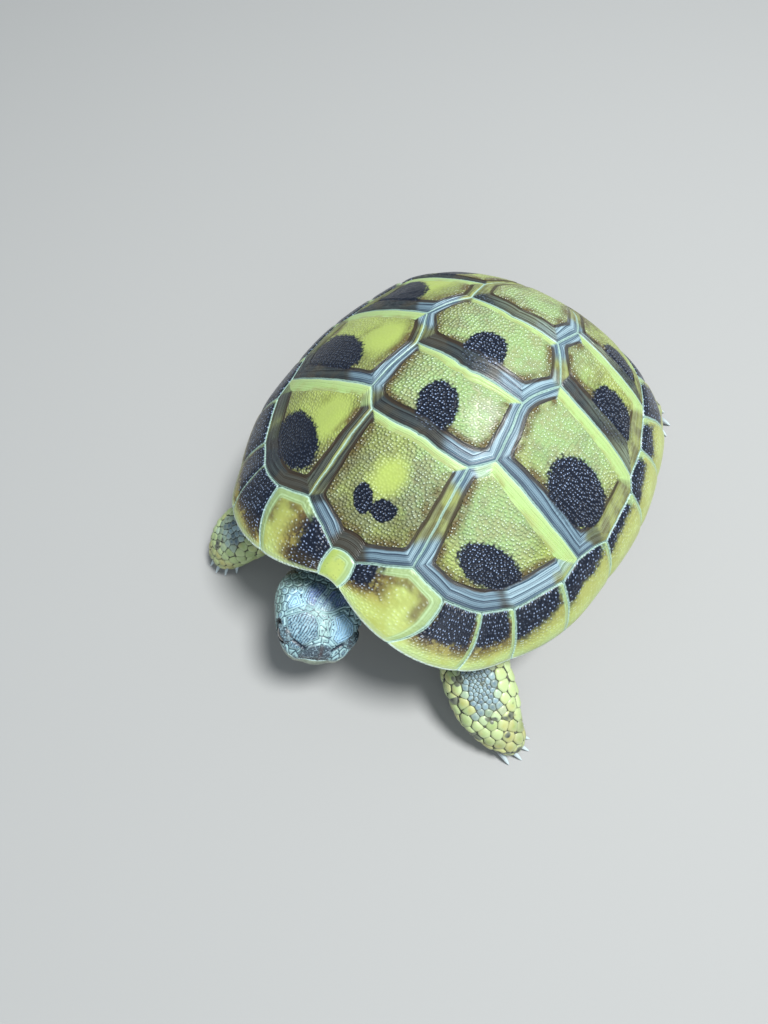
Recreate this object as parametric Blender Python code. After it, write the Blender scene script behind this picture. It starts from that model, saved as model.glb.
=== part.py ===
"""A juvenile Hermann's tortoise walking, as a still life-size model.

Metres, +Z up, head towards -Y, the animal's left side at +X.  The soles stand on
z = 0 and the origin is below the middle of the whole animal.
Sizes below are in millimetres; to_metres() turns them into metres.
"""
import math

import bmesh
import bpy
from mathutils import Matrix, Vector

MM = 0.001

# ---------------------------------------------------------------- driving sizes
ORIGIN_SHIFT = Vector((-1.73, -1.42, 0.0))   # moves the drawing's axis to the origin
GAP = 0.3                                  # clear distance between neighbours
PLATE = 1.2                                # thickness of a horny plate
AXIS_Y = 2.4                               # the dome's vertical axis
APEX_Z = 30.3                              # top of the dome

# The rim, from the front middle to the rear middle: (out, along, height) where
# each seam between two marginal plates reaches it.
RIM = {
    "front": (0.0, -22.5, 20.2),
    "nuchal_1": (1.3, -22.7, 20.1),
    "1_2": (8.5, -24.0, 18.5),
    "2_3": (15.6, -21.5, 15.9),
    "3_4": (19.4, -16.6, 13.9),
    "4_5": (22.4, -10.2, 13.0),
    "5_6": (23.2, -2.6, 12.5),
    "6_7": (23.2, 4.9, 12.5),
    "7_8": (21.9, 11.7, 12.7),
    "8_9": (19.7, 17.9, 12.8),
    "9_10": (15.9, 22.4, 11.8),
    "10_11": (10.5, 25.7, 10.3),
    "11_tail": (5.0, 27.5, 9.2),
    "rear": (0.0, 27.9, 8.8),
}

# The dome's profile from apex to rim is a cubic curve.  Its handles, as shares of
# the radius (first and second) and of the height (second), by direction.
HANDLES_FRONT = (0.34, 0.76, 0.235)
HANDLES_SIDE = (0.29, 1.05, 0.50)
HANDLES_REAR = (0.615, 0.88, 0.55)

# Seam junctions on the unit disc that the dome is the image of: (out, rearward).
SEAMS = {
    "v1_nuchal": (0.055, -0.850),
    "v1_c1_m1": (0.223, -0.647),
    "v1_v2_c1": (0.187, -0.294),
    "v1_v2": (0.0, -0.352),
    "v2_c1_c2": (0.252, -0.229),
    "v2_v3_c2": (0.245, -0.024),
    "v2_v3": (0.0, -0.050),
    "v3_c2_c3": (0.282, 0.134),
    "v3_v4_c3": (0.148, 0.223),
    "v3_v4": (0.0, 0.184),
    "v4_c3_c4": (0.166, 0.334),
    "v4_v5_c4": (0.085, 0.530),
    "v5_c4_m10": (0.290, 0.630),
    "v5_m11_tail": (0.110, 0.770),
    "c1_m1_m2": (0.351, -0.638),
    "c1_m2_m3": (0.465, -0.587),
    "c1_m3_m4": (0.551, -0.517),
    "c1_m4_m5": (0.641, -0.345),
    "c1_c2_m5": (0.648, -0.262),
    "c2_m5_m6": (0.727, -0.130),
    "c2_m6_m7": (0.705, 0.088),
    "c2_c3_m7": (0.662, 0.128),
    "c3_m7_m8": (0.629, 0.250),
    "c3_m8_m9": (0.545, 0.345),
    "c3_c4_m9": (0.516, 0.372),
    "c4_m9_m10": (0.430, 0.490),
}

# Marginal plates: the seam points along the inner edge, then the two rim points.
MARGINALS = {
    1: (("v1_nuchal", "v1_c1_m1", "c1_m1_m2"), "nuchal_1", "1_2"),
    2: (("c1_m1_m2", "c1_m2_m3"), "1_2", "2_3"),
    3: (("c1_m2_m3", "c1_m3_m4"), "2_3", "3_4"),
    4: (("c1_m3_m4", "c1_m4_m5"), "3_4", "4_5"),
    5: (("c1_m4_m5", "c1_c2_m5", "c2_m5_m6"), "4_5", "5_6"),
    6: (("c2_m5_m6", "c2_m6_m7"), "5_6", "6_7"),
    7: (("c2_m6_m7", "c2_c3_m7", "c3_m7_m8"), "6_7", "7_8"),
    8: (("c3_m7_m8", "c3_m8_m9"), "7_8", "8_9"),
    9: (("c3_m8_m9", "c3_c4_m9", "c4_m9_m10"), "8_9", "9_10"),
    10: (("c4_m9_m10", "v5_c4_m10"), "9_10", "10_11"),
    11: (("v5_c4_m10", "v5_m11_tail"), "10_11", "11_tail"),
}

COSTALS = {
    1: ("v1_c1_m1", "c1_m1_m2", "c1_m2_m3", "c1_m3_m4", "c1_m4_m5", "c1_c2_m5",
        "v2_c1_c2", "v1_v2_c1"),
    2: ("v2_c1_c2", "c1_c2_m5", "c2_m5_m6", "c2_m6_m7", "c2_c3_m7", "v3_c2_c3",
        "v2_v3_c2"),
    3: ("v3_c2_c3", "c2_c3_m7", "c3_m7_m8", "c3_m8_m9", "c3_c4_m9", "v4_c3_c4",
        "v3_v4_c3"),
    4: ("v4_c3_c4", "c3_c4_m9", "c4_m9_m10", "v5_c4_m10", "v4_v5_c4"),
}

# Vertebral plates: the seam points of the left half, from front to rear.
VERTEBRALS = {
    1: ("v1_nuchal", "v1_c1_m1", "v1_v2_c1", "v1_v2"),
    2: ("v1_v2", "v1_v2_c1", "v2_c1_c2", "v2_v3_c2", "v2_v3"),
    3: ("v2_v3", "v2_v3_c2", "v3_c2_c3", "v3_v4_c3", "v3_v4"),
    4: ("v3_v4", "v3_v4_c3", "v4_c3_c4", "v4_v5_c4"),
    5: ("v4_v5_c4", "v5_c4_m10", "v5_m11_tail"),
}

SEAM_INSET = 0.0078      # half a seam gap, in disc units
GROOVE = 0.05            # how far a plate's edge lies under the dome
RELIEF = 0.22            # how far a plate's middle stands over it
AREOLA = 0.66            # the hatchling plate in the middle, as a share
PLATE_POINTS = 18        # points round a large plate

# Marginal undersides
LEDGE_OPEN = 2.9         # width of the ledge under the front and rear rim
LEDGE_BRIDGE = 4.6       # width where the rim joins the plastron
LEDGE_DROP = 0.2
LEDGE_THICK = 0.9
BRIDGE_Z = 7.1           # height of the ledge's inner edge along the bridge
BRIDGE_ANGLES = (46.0, 60.0, 103.0, 116.0)   # degrees from the front

# Plastron
PLASTRON_Z = 3.6
PLASTRON_FLAT = 14.0     # flat out to here, then rising to the bridge
PLASTRON_RISE = 3.1
PLASTRON_EDGE = 18.4
LOBE_FRONT_Y, LOBE_RISE = -14.0, 0.9
PLASTRON = {
    "gular": ((0.0, -20.2), (2.9, -20.4), (5.2, -19.2), (0.0, -15.8)),
    "humeral": ((0.0, -15.8), (5.2, -19.2), (8.8, -16.9), (11.7, -13.2),
                (6.0, -11.0), (0.0, -10.6)),
    "pectoral": ((0.0, -10.6), (6.0, -11.0), (11.7, -13.2), (13.0, -10.6),
                 (17.6, -8.0), (18.3, -3.6), (9.0, -5.0), (0.0, -7.6)),
    "abdominal": ((0.0, -7.6), (9.0, -5.0), (18.3, -3.6), (18.3, 4.8),
                  (17.0, 9.0), (13.2, 11.0), (8.0, 8.4), (0.0, 6.4)),
    "femoral": ((0.0, 6.4), (8.0, 8.4), (13.2, 11.0), (13.0, 14.6),
                (10.4, 18.8), (5.0, 16.2), (0.0, 14.0)),
    "anal": ((0.0, 14.0), (5.0, 16.2), (10.4, 18.8), (6.8, 22.0),
             (3.4, 22.9), (0.0, 21.0)),
}

# Head: its own frame sits between the eyes; t runs forward to the snout.
HEAD_AT = Vector((-0.14, -25.62, 11.4))
HEAD_YAW, HEAD_PITCH, HEAD_ROLL = 36.0, 1.5, 17.0
HEAD_SECTIONS = (   # t, half width, top, bottom
    (-6.0, 3.60, 2.6, -3.5),
    (-4.6, 4.65, 3.2, -3.7),
    (-2.8, 5.10, 3.55, -3.75),
    (-0.9, 4.95, 3.55, -3.6),
    (0.7, 4.55, 3.2, -3.4),
    (1.9, 4.10, 2.6, -3.2),
    (2.9, 3.55, 1.9, -2.95),
    (3.55, 2.75, 1.1, -2.6),
    (3.9, 1.80, 0.3, -2.3),
)
HEAD_SQUARE = 2.5        # above 2 the sections are fuller than an ellipse
JAW_TAPER = 0.10         # the jaw is this much narrower than the crown
MOUTH_Z = -1.15          # height of the mouth line
MOUTH_STEP = 0.06        # the lower jaw lies this share inside the beak
BROW = (1.1, 0.42, 2.2)  # place, height and length of the swelling over each eye
EYE_AT = (1.1, 3.15, 0.95)       # t, out, up
EYE_RADIUS = 1.35

NECK_PATH = (   # place, half width, half height
    ((0.4, -10.0, 12.4), 4.0, 3.9),
    ((-1.9, -13.4, 12.2), 3.8, 3.7),
    ((-3.9, -16.4, 12.0), 3.65, 3.5),
    ((-4.7, -18.3, 11.8), 3.45, 3.2),
)

# The body inside the shell.  Under the dome it lies at these shares of the way out;
# lower down each level is (room inside the ledge where the shell is open, the same
# at the bridge, share of the way up to the ledge).
TRUNK_SHARES = (0.30, 0.52)
TRUNK_LEVELS = (
    (2.6, 1.6, 0.80),
    (4.2, 0.9, 0.45),
    (5.0, 1.6, 0.12),
)
TRUNK_CLEAR = PLATE + GAP + 0.15
TRUNK_LOW_OPEN, TRUNK_LOW_BRIDGE = 1.2, 1.0     # above the plates below
TRUNK_HIGH_OPEN, TRUNK_HIGH_BRIDGE = 1.2, 9.0   # above the ledge
TRUNK_FLOOR = (11.0, 14.5, 1.0)                 # half width, half length, middle
TRUNK_FLOOR_CLEAR = 2.5 * GAP

# Limbs: place, half width, half thickness, from inside the body to the toes.
# "wide" is the direction that the broad side lies along.
LIMBS = {
    "leg_front_left": {
        "wide": (0.44, 0.87, 0.22),
        "path": (
            ((8.4, -10.6, 10.6), 3.4, 2.8),
            ((13.2, -15.2, 9.4), 3.8, 2.8),
            ((17.0, -18.4, 7.6), 4.1, 2.9),
            ((20.0, -20.1, 5.3), 3.9, 2.7),
            ((22.4, -20.9, 3.3), 3.0, 2.4),
            ((24.3, -21.1, 1.8), 2.1, 2.0),
            ((25.1, -21.1, 1.1), 1.3, 1.3),
        ),
        "claws": 5, "toe": (24.6, -21.0, 1.1), "heading": (0.97, 0.18, -0.30),
        "spread": 3.0, "claw": 2.5,
    },
    "leg_front_right": {
        "wide": (-0.80, 0.52, 0.28),
        "path": (
            ((-8.4, -10.6, 10.6), 3.4, 2.8),
            ((-12.4, -15.0, 9.4), 3.7, 2.8),
            ((-15.6, -19.2, 7.6), 3.9, 2.8),
            ((-17.6, -21.7, 5.2), 3.6, 2.7),
            ((-18.5, -23.1, 3.1), 3.0, 2.4),
            ((-18.9, -24.1, 1.7), 2.2, 2.0),
            ((-19.0, -24.6, 1.1), 1.4, 1.3),
        ),
        "claws": 5, "toe": (-19.0, -24.2, 1.1), "heading": (0.05, -0.97, -0.34),
        "spread": 3.0, "claw": 2.2,
    },
    "leg_hind_left": {
        "wide": (-0.35, 0.93, 0.10),
        "path": (
            ((8.2, 12.6, 10.2), 3.4, 3.0),
            ((12.6, 18.4, 7.6), 3.3, 2.5),
            ((14.4, 22.6, 5.8), 3.2, 2.6),
            ((15.2, 26.0, 4.1), 3.0, 2.7),
            ((15.7, 28.4, 2.6), 2.8, 2.5),
            ((16.3, 29.7, 1.5), 2.6, 2.2),
            ((16.8, 29.9, 1.0), 2.3, 1.9),
        ),
        "claws": 4, "toe": (17.7, 29.9, 1.0), "heading": (0.96, 0.20, -0.28),
        "spread": 3.7, "claw": 2.6,
    },
    "leg_hind_right": {
        "wide": (-0.93, 0.30, 0.20),
        "path": (
            ((-8.2, 12.0, 10.2), 3.4, 3.0),
            ((-13.0, 15.4, 8.4), 3.4, 2.9),
            ((-16.4, 17.5, 6.4), 3.4, 3.0),
            ((-18.0, 18.0, 4.4), 3.1, 2.9),
            ((-18.9, 17.0, 2.6), 2.9, 2.6),
            ((-19.5, 15.4, 1.5), 2.5, 1.9),
            ((-19.7, 14.7, 1.1), 1.8, 1.3),
        ),
        "claws": 4, "toe": (-19.6, 15.2, 1.0), "heading": (-0.30, -0.92, -0.28),
        "spread": 3.8, "claw": 2.2,
    },
}
CLAW_RADIUS, CLAW_TIP = 0.5, 0.1
CLAW_ROOT = 0.6          # length of a claw inside the toe
CLAW_Z = 1.15
CLAW_FAN = 24.0          # degrees the outer claws turn aside
TAIL_PATH = (
    ((0.0, 14.0, 9.6), 2.5, 2.4),
    ((0.2, 20.5, 7.7), 2.0, 1.8),
    ((0.5, 23.8, 5.9), 1.4, 1.3),
    ((0.9, 26.4, 4.6), 0.95, 0.9),
    ((1.3, 28.4, 3.8), 0.45, 0.45),
)

# Colours
YELLOW, OLIVE, OCHRE = (0.56, 0.60, 0.12), (0.34, 0.36, 0.10), (0.42, 0.30, 0.07)
SLATE, SKIN, EYE = (0.16, 0.24, 0.30), (0.20, 0.21, 0.15), (0.01, 0.01, 0.012)


# ---------------------------------------------------------------- scene helpers
def clear_scene():
    for old in list(bpy.data.objects):
        bpy.data.objects.remove(old, do_unlink=True)


def new_collection(name):
    group = bpy.data.collections.new(name)
    bpy.context.scene.collection.children.link(group)
    return group


def new_material(name, colour, roughness=0.45):
    material = bpy.data.materials.new(name)
    material.use_nodes = True
    shader = material.node_tree.nodes["Principled BSDF"]
    shader.inputs["Base Color"].default_value = (*colour, 1.0)
    shader.inputs["Roughness"].default_value = roughness
    shader.inputs["Metallic"].default_value = 0.0
    return material


def to_metres(point):
    return (point + ORIGIN_SHIFT) * MM


def loft(name, group, rings, colour=None, roughness=0.45, start=None, end=None):
    """A closed body through rings of equal count.  An end is a flat cap, or a fan
    to the point given as start or end."""
    mesh = bmesh.new()
    rows = [[mesh.verts.new(to_metres(p)) for p in ring] for ring in rings]
    count = len(rings[0])
    for low, high in zip(rows, rows[1:]):
        for i in range(count):
            j = (i + 1) % count
            mesh.faces.new((low[i], low[j], high[j], high[i]))
    for row, tip in ((rows[0], start), (rows[-1], end)):
        if tip is None:
            mesh.faces.new(row)
            continue
        centre = mesh.verts.new(to_metres(tip))
        for i in range(count):
            mesh.faces.new((row[i], row[(i + 1) % count], centre))
    bmesh.ops.triangulate(mesh, faces=mesh.faces)
    bmesh.ops.recalc_face_normals(mesh, faces=mesh.faces)
    data = bpy.data.meshes.new(name)
    mesh.to_mesh(data)
    mesh.free()
    data.shade_smooth()
    data.set_sharp_from_angle(angle=math.radians(40.0))
    body = bpy.data.objects.new(name, data)
    group.objects.link(body)
    if colour is not None:
        data.materials.append(new_material(name, colour, roughness))
    else:
        body.hide_render = True
        body.display_type = "WIRE"
    return body


def boolean(body, operation, cutter):
    step = body.modifiers.new(operation.lower(), "BOOLEAN")
    step.operation = operation
    step.solver = "EXACT"
    step.object = cutter


# ---------------------------------------------------------------- the dome
def smoothstep(low, high, value):
    x = min(max((value - low) / (high - low), 0.0), 1.0)
    return x * x * (3.0 - 2.0 * x)


def mix(a, b, share):
    return a + (b - a) * share


def rim_angle(key):
    x, y, _ = RIM[key]
    return math.atan2(x, AXIS_Y - y)


def rim_table():
    rows = []
    for key, (x, y, z) in RIM.items():
        rows.append((rim_angle(key), math.hypot(x, y - AXIS_Y), z))
    return rows


RIM_TABLE = rim_table()


def rim_polar(angle):
    """Radius and height of the rim at an angle from the front, 0 to pi, on a
    cubic curve through the rim's points."""
    table = RIM_TABLE
    k = 0
    while k < len(table) - 2 and angle > table[k + 1][0]:
        k += 1
    here, there = table[k], table[k + 1]
    before = table[k - 1] if k else (-table[1][0], *table[1][1:])
    last = (2.0 * math.pi - table[-2][0], *table[-2][1:])
    after = table[k + 2] if k + 2 < len(table) else last
    span = there[0] - here[0]
    u = (angle - here[0]) / span
    values = []
    for i in (1, 2):
        slope_here = (there[i] - before[i]) / (there[0] - before[0])
        slope_there = (after[i] - here[i]) / (after[0] - here[0])
        values.append(
            (2 * u**3 - 3 * u**2 + 1) * here[i] + (u**3 - 2 * u**2 + u) * span * slope_here
            + (3 * u**2 - 2 * u**3) * there[i] + (u**3 - u**2) * span * slope_there)
    return values


def dome_raw(a, b):
    share = min(math.hypot(a, b), 1.0)
    angle = math.atan2(a, -b)
    radius, rim_z = rim_polar(abs(angle))
    front = max(math.cos(angle), 0.0) ** 2
    rear = max(-math.cos(angle), 0.0) ** 2
    side = 1.0 - front - rear
    first, second, height = (
        front * f + side * s + rear * r
        for f, s, r in zip(HANDLES_FRONT, HANDLES_SIDE, HANDLES_REAR))
    q = 1.0 - share
    out = radius * (3 * q * q * share * first + 3 * q * share**2 * second + share**3)
    up = q**3 + 3 * q * q * share + 3 * q * share**2 * height
    z = rim_z + (APEX_Z - rim_z) * up
    return Vector((out * math.sin(angle), AXIS_Y - out * math.cos(angle), z))


def dome_normal(a, b):
    step = 0.012
    across = dome_raw(a + step, b) - dome_raw(a - step, b)
    along = dome_raw(a, b + step) - dome_raw(a, b - step)
    return across.cross(along).normalized()


def dome(a, b, lift=0.0):
    share = math.hypot(a, b)
    inner = min(1.0, 0.985 / share) if share > 0.985 else 1.0
    return dome_raw(a, b) + dome_normal(a * inner, b * inner) * lift


# ---------------------------------------------------------------- plates
def inset(outline, distance):
    """The outline of a plate moved inward by a distance on the disc."""
    count = len(outline)
    area = sum(outline[i][0] * outline[(i + 1) % count][1]
               - outline[(i + 1) % count][0] * outline[i][1] for i in range(count))
    sign = 1.0 if area > 0 else -1.0
    moved = []
    for i in range(count):
        before, here, after = (Vector(outline[j % count]) for j in (i - 1, i, i + 1))
        first, second = (here - before).normalized(), (after - here).normalized()
        n1 = Vector((-first.y, first.x)) * sign
        n2 = Vector((-second.y, second.x)) * sign
        corner = (n1 + n2) / max(1.0 + n1.dot(n2), 0.35)
        moved.append(here + corner * distance)
    return moved


def divide(outline, total):
    """Points along a closed outline, its corners kept, about total in number."""
    sides = [(Vector(p), Vector(q)) for p, q in zip(outline, outline[1:] + outline[:1])]
    length = sum((q - p).length for p, q in sides)
    points = []
    for p, q in sides:
        steps = max(1, round((q - p).length / length * total))
        points += [p.lerp(q, k / steps) for k in range(steps)]
    return points


def plate(name, group, corners, colour, total=18, surface=dome, thickness=PLATE,
          shrink=SEAM_INSET, relief=RELIEF, groove=GROOVE):
    """One horny plate: a loft from its underside over its edge and the hatchling
    plate's edge to its middle."""
    edge = divide(inset([tuple(c) for c in corners], shrink), total)
    middle = sum(edge, Vector((0.0, 0.0))) / len(edge)
    levels = ((1.0, -thickness), (1.0, -groove), (0.90, relief * 0.55),
              (AREOLA, relief), (0.33, relief))
    rings = []
    for share, lift in levels:
        ring = [middle.lerp(p, share) for p in edge]
        rings.append([surface(p.x, p.y, lift) for p in ring])
    bottom = surface(middle.x, middle.y, -thickness)
    top = surface(middle.x, middle.y, relief)
    return loft(name, group, rings, colour, start=bottom, end=top)


def mirrored(points, side):
    return [(x * side, y) for x, y in points]


def make_carapace(group):
    for number, keys in VERTEBRALS.items():
        left = [SEAMS[k] for k in keys]
        outline = left + [(-x, y) for x, y in reversed(left) if x > 0.0]
        plate(f"vertebral_{number}", group, outline, YELLOW, total=PLATE_POINTS)
    for side, word in ((1, "left"), (-1, "right")):
        for number, keys in COSTALS.items():
            outline = mirrored([SEAMS[k] for k in keys], side)
            plate(f"costal_{word}_{number}", group, outline, YELLOW, total=PLATE_POINTS)
        for number, (inner, front, rear) in MARGINALS.items():
            path = [SEAMS[k] for k in inner]
            marginal(f"marginal_{word}_{number}", group, side, path,
                     rim_angle(front), rim_angle(rear))
        marginal(f"supracaudal_{word}", group, side, [SEAMS["v5_m11_tail"], (0.0, 0.77)],
                 rim_angle("11_tail"), math.pi)
    make_nuchal(group)


def bridge_share(angle):
    a, b, c, d = BRIDGE_ANGLES
    degrees = math.degrees(angle)
    return smoothstep(a, b, degrees) * (1.0 - smoothstep(c, d, degrees))


def ledge(angle, side=1, rise=0.0):
    """The inner edge of the rim's underside."""
    share = bridge_share(angle)
    radius, z = rim_polar(angle)
    out = radius - mix(LEDGE_OPEN, LEDGE_BRIDGE, share)
    low = mix(z - LEDGE_DROP - LEDGE_THICK, BRIDGE_Z, share)
    return Vector((side * out * math.sin(angle), AXIS_Y - out * math.cos(angle), low + rise))


def along(path, share):
    """A point at a share of the length of a path on the disc."""
    points = [Vector(p) for p in path]
    lengths = [(q - p).length for p, q in zip(points, points[1:])]
    target = share * sum(lengths)
    for p, q, length in zip(points, points[1:], lengths):
        if target <= length or q is points[-1]:
            return p.lerp(q, min(target / length, 1.0))
        target -= length


def centre_of(ring):
    return sum(ring, Vector()) / len(ring)


def rim_section(inner, angle, side):
    """The outline of a rim plate in one cut: over the top, round the rim, along
    the ledge and back inside."""
    edge = Vector((math.sin(angle), -math.cos(angle)))
    crown = dome_normal(inner.x, inner.y)
    top = [dome(inner.x, inner.y, -GROOVE)]
    for share, lift in ((0.12, RELIEF * 0.6), (0.45, RELIEF), (0.8, RELIEF * 0.7)):
        p = inner.lerp(edge, share)
        top.append(dome(p.x, p.y, lift))
    rim = dome_raw(edge.x, edge.y)
    under = ledge(mix(angle, math.atan2(inner.x, -inner.y), 0.35))
    lip = rim + Vector((0.0, 0.0, -LEDGE_THICK * 0.8))
    inside = under + Vector((0.0, 0.0, LEDGE_THICK))
    back = dome(inner.x, inner.y, 0.0) - crown * PLATE
    points = top + [rim, lip, under, inside, back]
    return [Vector((p.x * side, p.y, p.z)) for p in points]


def marginal(name, group, side, path, angle_a, angle_b, steps=3):
    """A rim plate: sections along the rim from one seam to the next."""
    lengths = [(Vector(q) - Vector(p)).length for p, q in zip(path, path[1:])]
    total = sum(lengths)
    stations = {k / steps for k in range(steps + 1)}
    stations |= {sum(lengths[:k]) / total for k in range(1, len(lengths))}
    rings = []
    for share in sorted(stations):
        trim = mix(SEAM_INSET, -SEAM_INSET, share) / total
        inner = along(path, share + trim)
        inward = Vector((math.sin(mix(angle_a, angle_b, share)),
                         -math.cos(mix(angle_a, angle_b, share))))
        inner = inner + inward * SEAM_INSET * 1.1
        rim_trim = mix(SEAM_INSET, -SEAM_INSET, share)
        angle = mix(angle_a, angle_b, share) + rim_trim
        rings.append(rim_section(inner, angle, side))
    return loft(name, group, rings, YELLOW, start=centre_of(rings[0]), end=centre_of(rings[-1]))


def make_nuchal(group):
    """The small plate at the front middle, between the first marginals."""
    x_in, b_in = SEAMS["v1_nuchal"]
    angle_rim = rim_angle("nuchal_1") - SEAM_INSET
    rings = []
    for k in range(5):
        share = mix(-1.0, 1.0, k / 4)
        side = 1 if share >= 0 else -1
        inner = Vector(((x_in - SEAM_INSET) * abs(share), b_in - SEAM_INSET * 1.4))
        rings.append(rim_section(inner, angle_rim * abs(share), side))
    loft("nuchal", group, rings, YELLOW, start=centre_of(rings[0]), end=centre_of(rings[-1]))


# ---------------------------------------------------------------- plastron
def plastron(x, y, lift=0.0):
    """The underside: flat, rising to the bridges and a little at the front."""
    out = max(abs(x) - PLASTRON_FLAT, 0.0) / (PLASTRON_EDGE - PLASTRON_FLAT)
    z = PLASTRON_Z + PLASTRON_RISE * out**2
    z += LOBE_RISE * (max(LOBE_FRONT_Y - y, 0.0) / 6.0) ** 2
    return Vector((x, y, z - lift))


def make_plastron(group):
    for side, word in ((1, "left"), (-1, "right")):
        for name, corners in PLASTRON.items():
            plate(f"{name}_{word}", group, mirrored(corners, side), OCHRE, total=12,
                  surface=plastron, shrink=0.18, relief=0.0, groove=0.0)


# ---------------------------------------------------------------- flesh
def make_trunk(name, group, colour, grow=0.0, count=26):
    """The body inside the shell, with open pockets in front and behind where the
    neck, limbs and tail come out."""
    clear = TRUNK_CLEAR - grow
    rings = []
    for share in TRUNK_SHARES:
        ring = []
        for i in range(count):
            angle = 2.0 * math.pi * i / count
            ring.append(dome(share * math.sin(angle), -share * math.cos(angle), -clear))
        rings.append(ring)
    for open_room, bridge_room, level in TRUNK_LEVELS:
        ring = []
        for i in range(count):
            angle = 2.0 * math.pi * i / count
            folded = angle if angle <= math.pi else 2.0 * math.pi - angle
            side = 1 if angle <= math.pi else -1
            share = bridge_share(folded)
            inner = ledge(folded)
            room = mix(open_room, bridge_room, share) - grow
            reach = math.hypot(inner.x, inner.y - AXIS_Y) - room
            low = mix(PLASTRON_Z + PLATE + TRUNK_LOW_OPEN,
                      BRIDGE_Z + LEDGE_THICK + TRUNK_LOW_BRIDGE, share)
            high = inner.z + mix(TRUNK_HIGH_OPEN, TRUNK_HIGH_BRIDGE, share)
            z = mix(low, high, level)
            if level is TRUNK_LEVELS[-1][2]:
                z -= grow
            ring.append(Vector((side * reach * math.sin(folded),
                                AXIS_Y - reach * math.cos(folded), z)))
        rings.append(ring)
    floor = []
    wide, long, middle = TRUNK_FLOOR
    for i in range(count):
        angle = 2.0 * math.pi * i / count
        floor.append(Vector((wide * math.sin(angle), middle - long * math.cos(angle),
                             PLASTRON_Z + PLATE + TRUNK_FLOOR_CLEAR - grow)))
    rings.append(floor)
    top = dome(0.0, 0.0, -clear)
    return loft(name, group, rings, colour, start=top)


def spline(rows, steps):
    """Rows of numbers smoothly filled in by a Catmull-Rom curve."""
    filled = []
    for k in range(len(rows) - 1):
        before = rows[max(k - 1, 0)]
        here, there = rows[k], rows[k + 1]
        after = rows[min(k + 2, len(rows) - 1)]
        for step in range(steps):
            u = step / steps
            filled.append([
                0.5 * (2 * b + (c - a) * u + (2 * a - 5 * b + 4 * c - d) * u * u
                       + (3 * b - a - 3 * c + d) * u**3)
                for a, b, c, d in zip(before, here, there, after)])
    filled.append(list(rows[-1]))
    return filled


def tube(name, group, path, wide, colour, steps=2, count=14, square=2.3, last=None):
    """A limb: rounded sections across a smooth path; wide is the direction that
    the sections are broad in."""
    rows = spline([[*place, broad, deep] for place, broad, deep in path], steps)
    places = [Vector(row[:3]) for row in rows]
    rings = []
    for k, row in enumerate(rows):
        ahead = places[min(k + 1, len(rows) - 1)] - places[max(k - 1, 0)]
        ahead.normalize()
        across = Vector(wide)
        across = (across - ahead * across.dot(ahead)).normalized()
        if last is not None and k >= len(rows) - 2:
            across, up = last
        else:
            up = ahead.cross(across)
        rings.append(section(places[k], across, up, row[3], row[4], row[4], count, square))
    return loft(name, group, rings, colour, 0.6)


def section(centre, across, up, broad, top, bottom, count, square=2.3):
    """A rounded outline of one section, with its own height above and below."""
    ring = []
    for i in range(count):
        angle = 2.0 * math.pi * (i + 0.5) / count
        c, s = math.cos(angle), math.sin(angle)
        size = (abs(c) ** square + abs(s) ** square) ** (-1.0 / square)
        height = (top if s > 0 else bottom) * s * size
        ring.append(centre + across * (broad * c * size) + up * height)
    return ring


def head_axes():
    turn = (Matrix.Rotation(math.radians(HEAD_YAW), 3, "Z")
            @ Matrix.Rotation(math.radians(HEAD_PITCH), 3, "X")
            @ Matrix.Rotation(math.radians(HEAD_ROLL), 3, "Y"))
    return turn @ Vector((0, -1, 0)), turn @ Vector((1, 0, 0)), turn @ Vector((0, 0, 1))


def head_point(t, out, high):
    forward, left, up = head_axes()
    return HEAD_AT + forward * t + left * out + up * high


def ball(name, group, centre, radius, colour=None):
    mesh = bmesh.new()
    bmesh.ops.create_uvsphere(mesh, u_segments=12, v_segments=8, radius=radius * MM)
    data = bpy.data.meshes.new(name)
    mesh.to_mesh(data)
    mesh.free()
    data.shade_smooth()
    body = bpy.data.objects.new(name, data)
    body.location = to_metres(centre)
    group.objects.link(body)
    if colour is None:
        body.hide_render = True
        body.display_type = "WIRE"
    else:
        data.materials.append(new_material(name, colour, 0.08))
    return body


def head_ring(t, half, top, bottom, count=20):
    """One section of the head: a fuller crown, swollen lids and a set-in jaw."""
    _, left, up = head_axes()
    middle, deep = 0.5 * (top + bottom), 0.5 * (top - bottom)
    place, rise, length = BROW
    ring = []
    for i in range(count):
        angle = 2.0 * math.pi * (i + 0.5) / count
        c, s = math.cos(angle), math.sin(angle)
        size = (abs(c) ** HEAD_SQUARE + abs(s) ** HEAD_SQUARE) ** (-1.0 / HEAD_SQUARE)
        brow = rise * math.exp(-((t - place) / length * 2.0) ** 2 - ((s - 0.45) / 0.4) ** 2)
        out, high = c * size * half * (1.0 + JAW_TAPER * s), middle + s * size * deep
        if high < MOUTH_Z and t > -3.0:
            out *= 1.0 - MOUTH_STEP
        out += math.copysign(brow, c)
        ring.append(head_point(t, out, high))
    return ring


def make_head(group, cutters):
    rings = [head_ring(*row) for row in spline(HEAD_SECTIONS, 2)]
    head = loft("head", group, rings, SLATE, 0.5)
    t, out, high = EYE_AT
    for side, word in ((1, "left"), (-1, "right")):
        place = head_point(t, out * side, high)
        socket = ball(f"cut_socket_{word}", cutters, place, EYE_RADIUS + GAP)
        boolean(head, "DIFFERENCE", socket)
        ball(f"eye_{word}", group, place, EYE_RADIUS, EYE)


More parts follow.
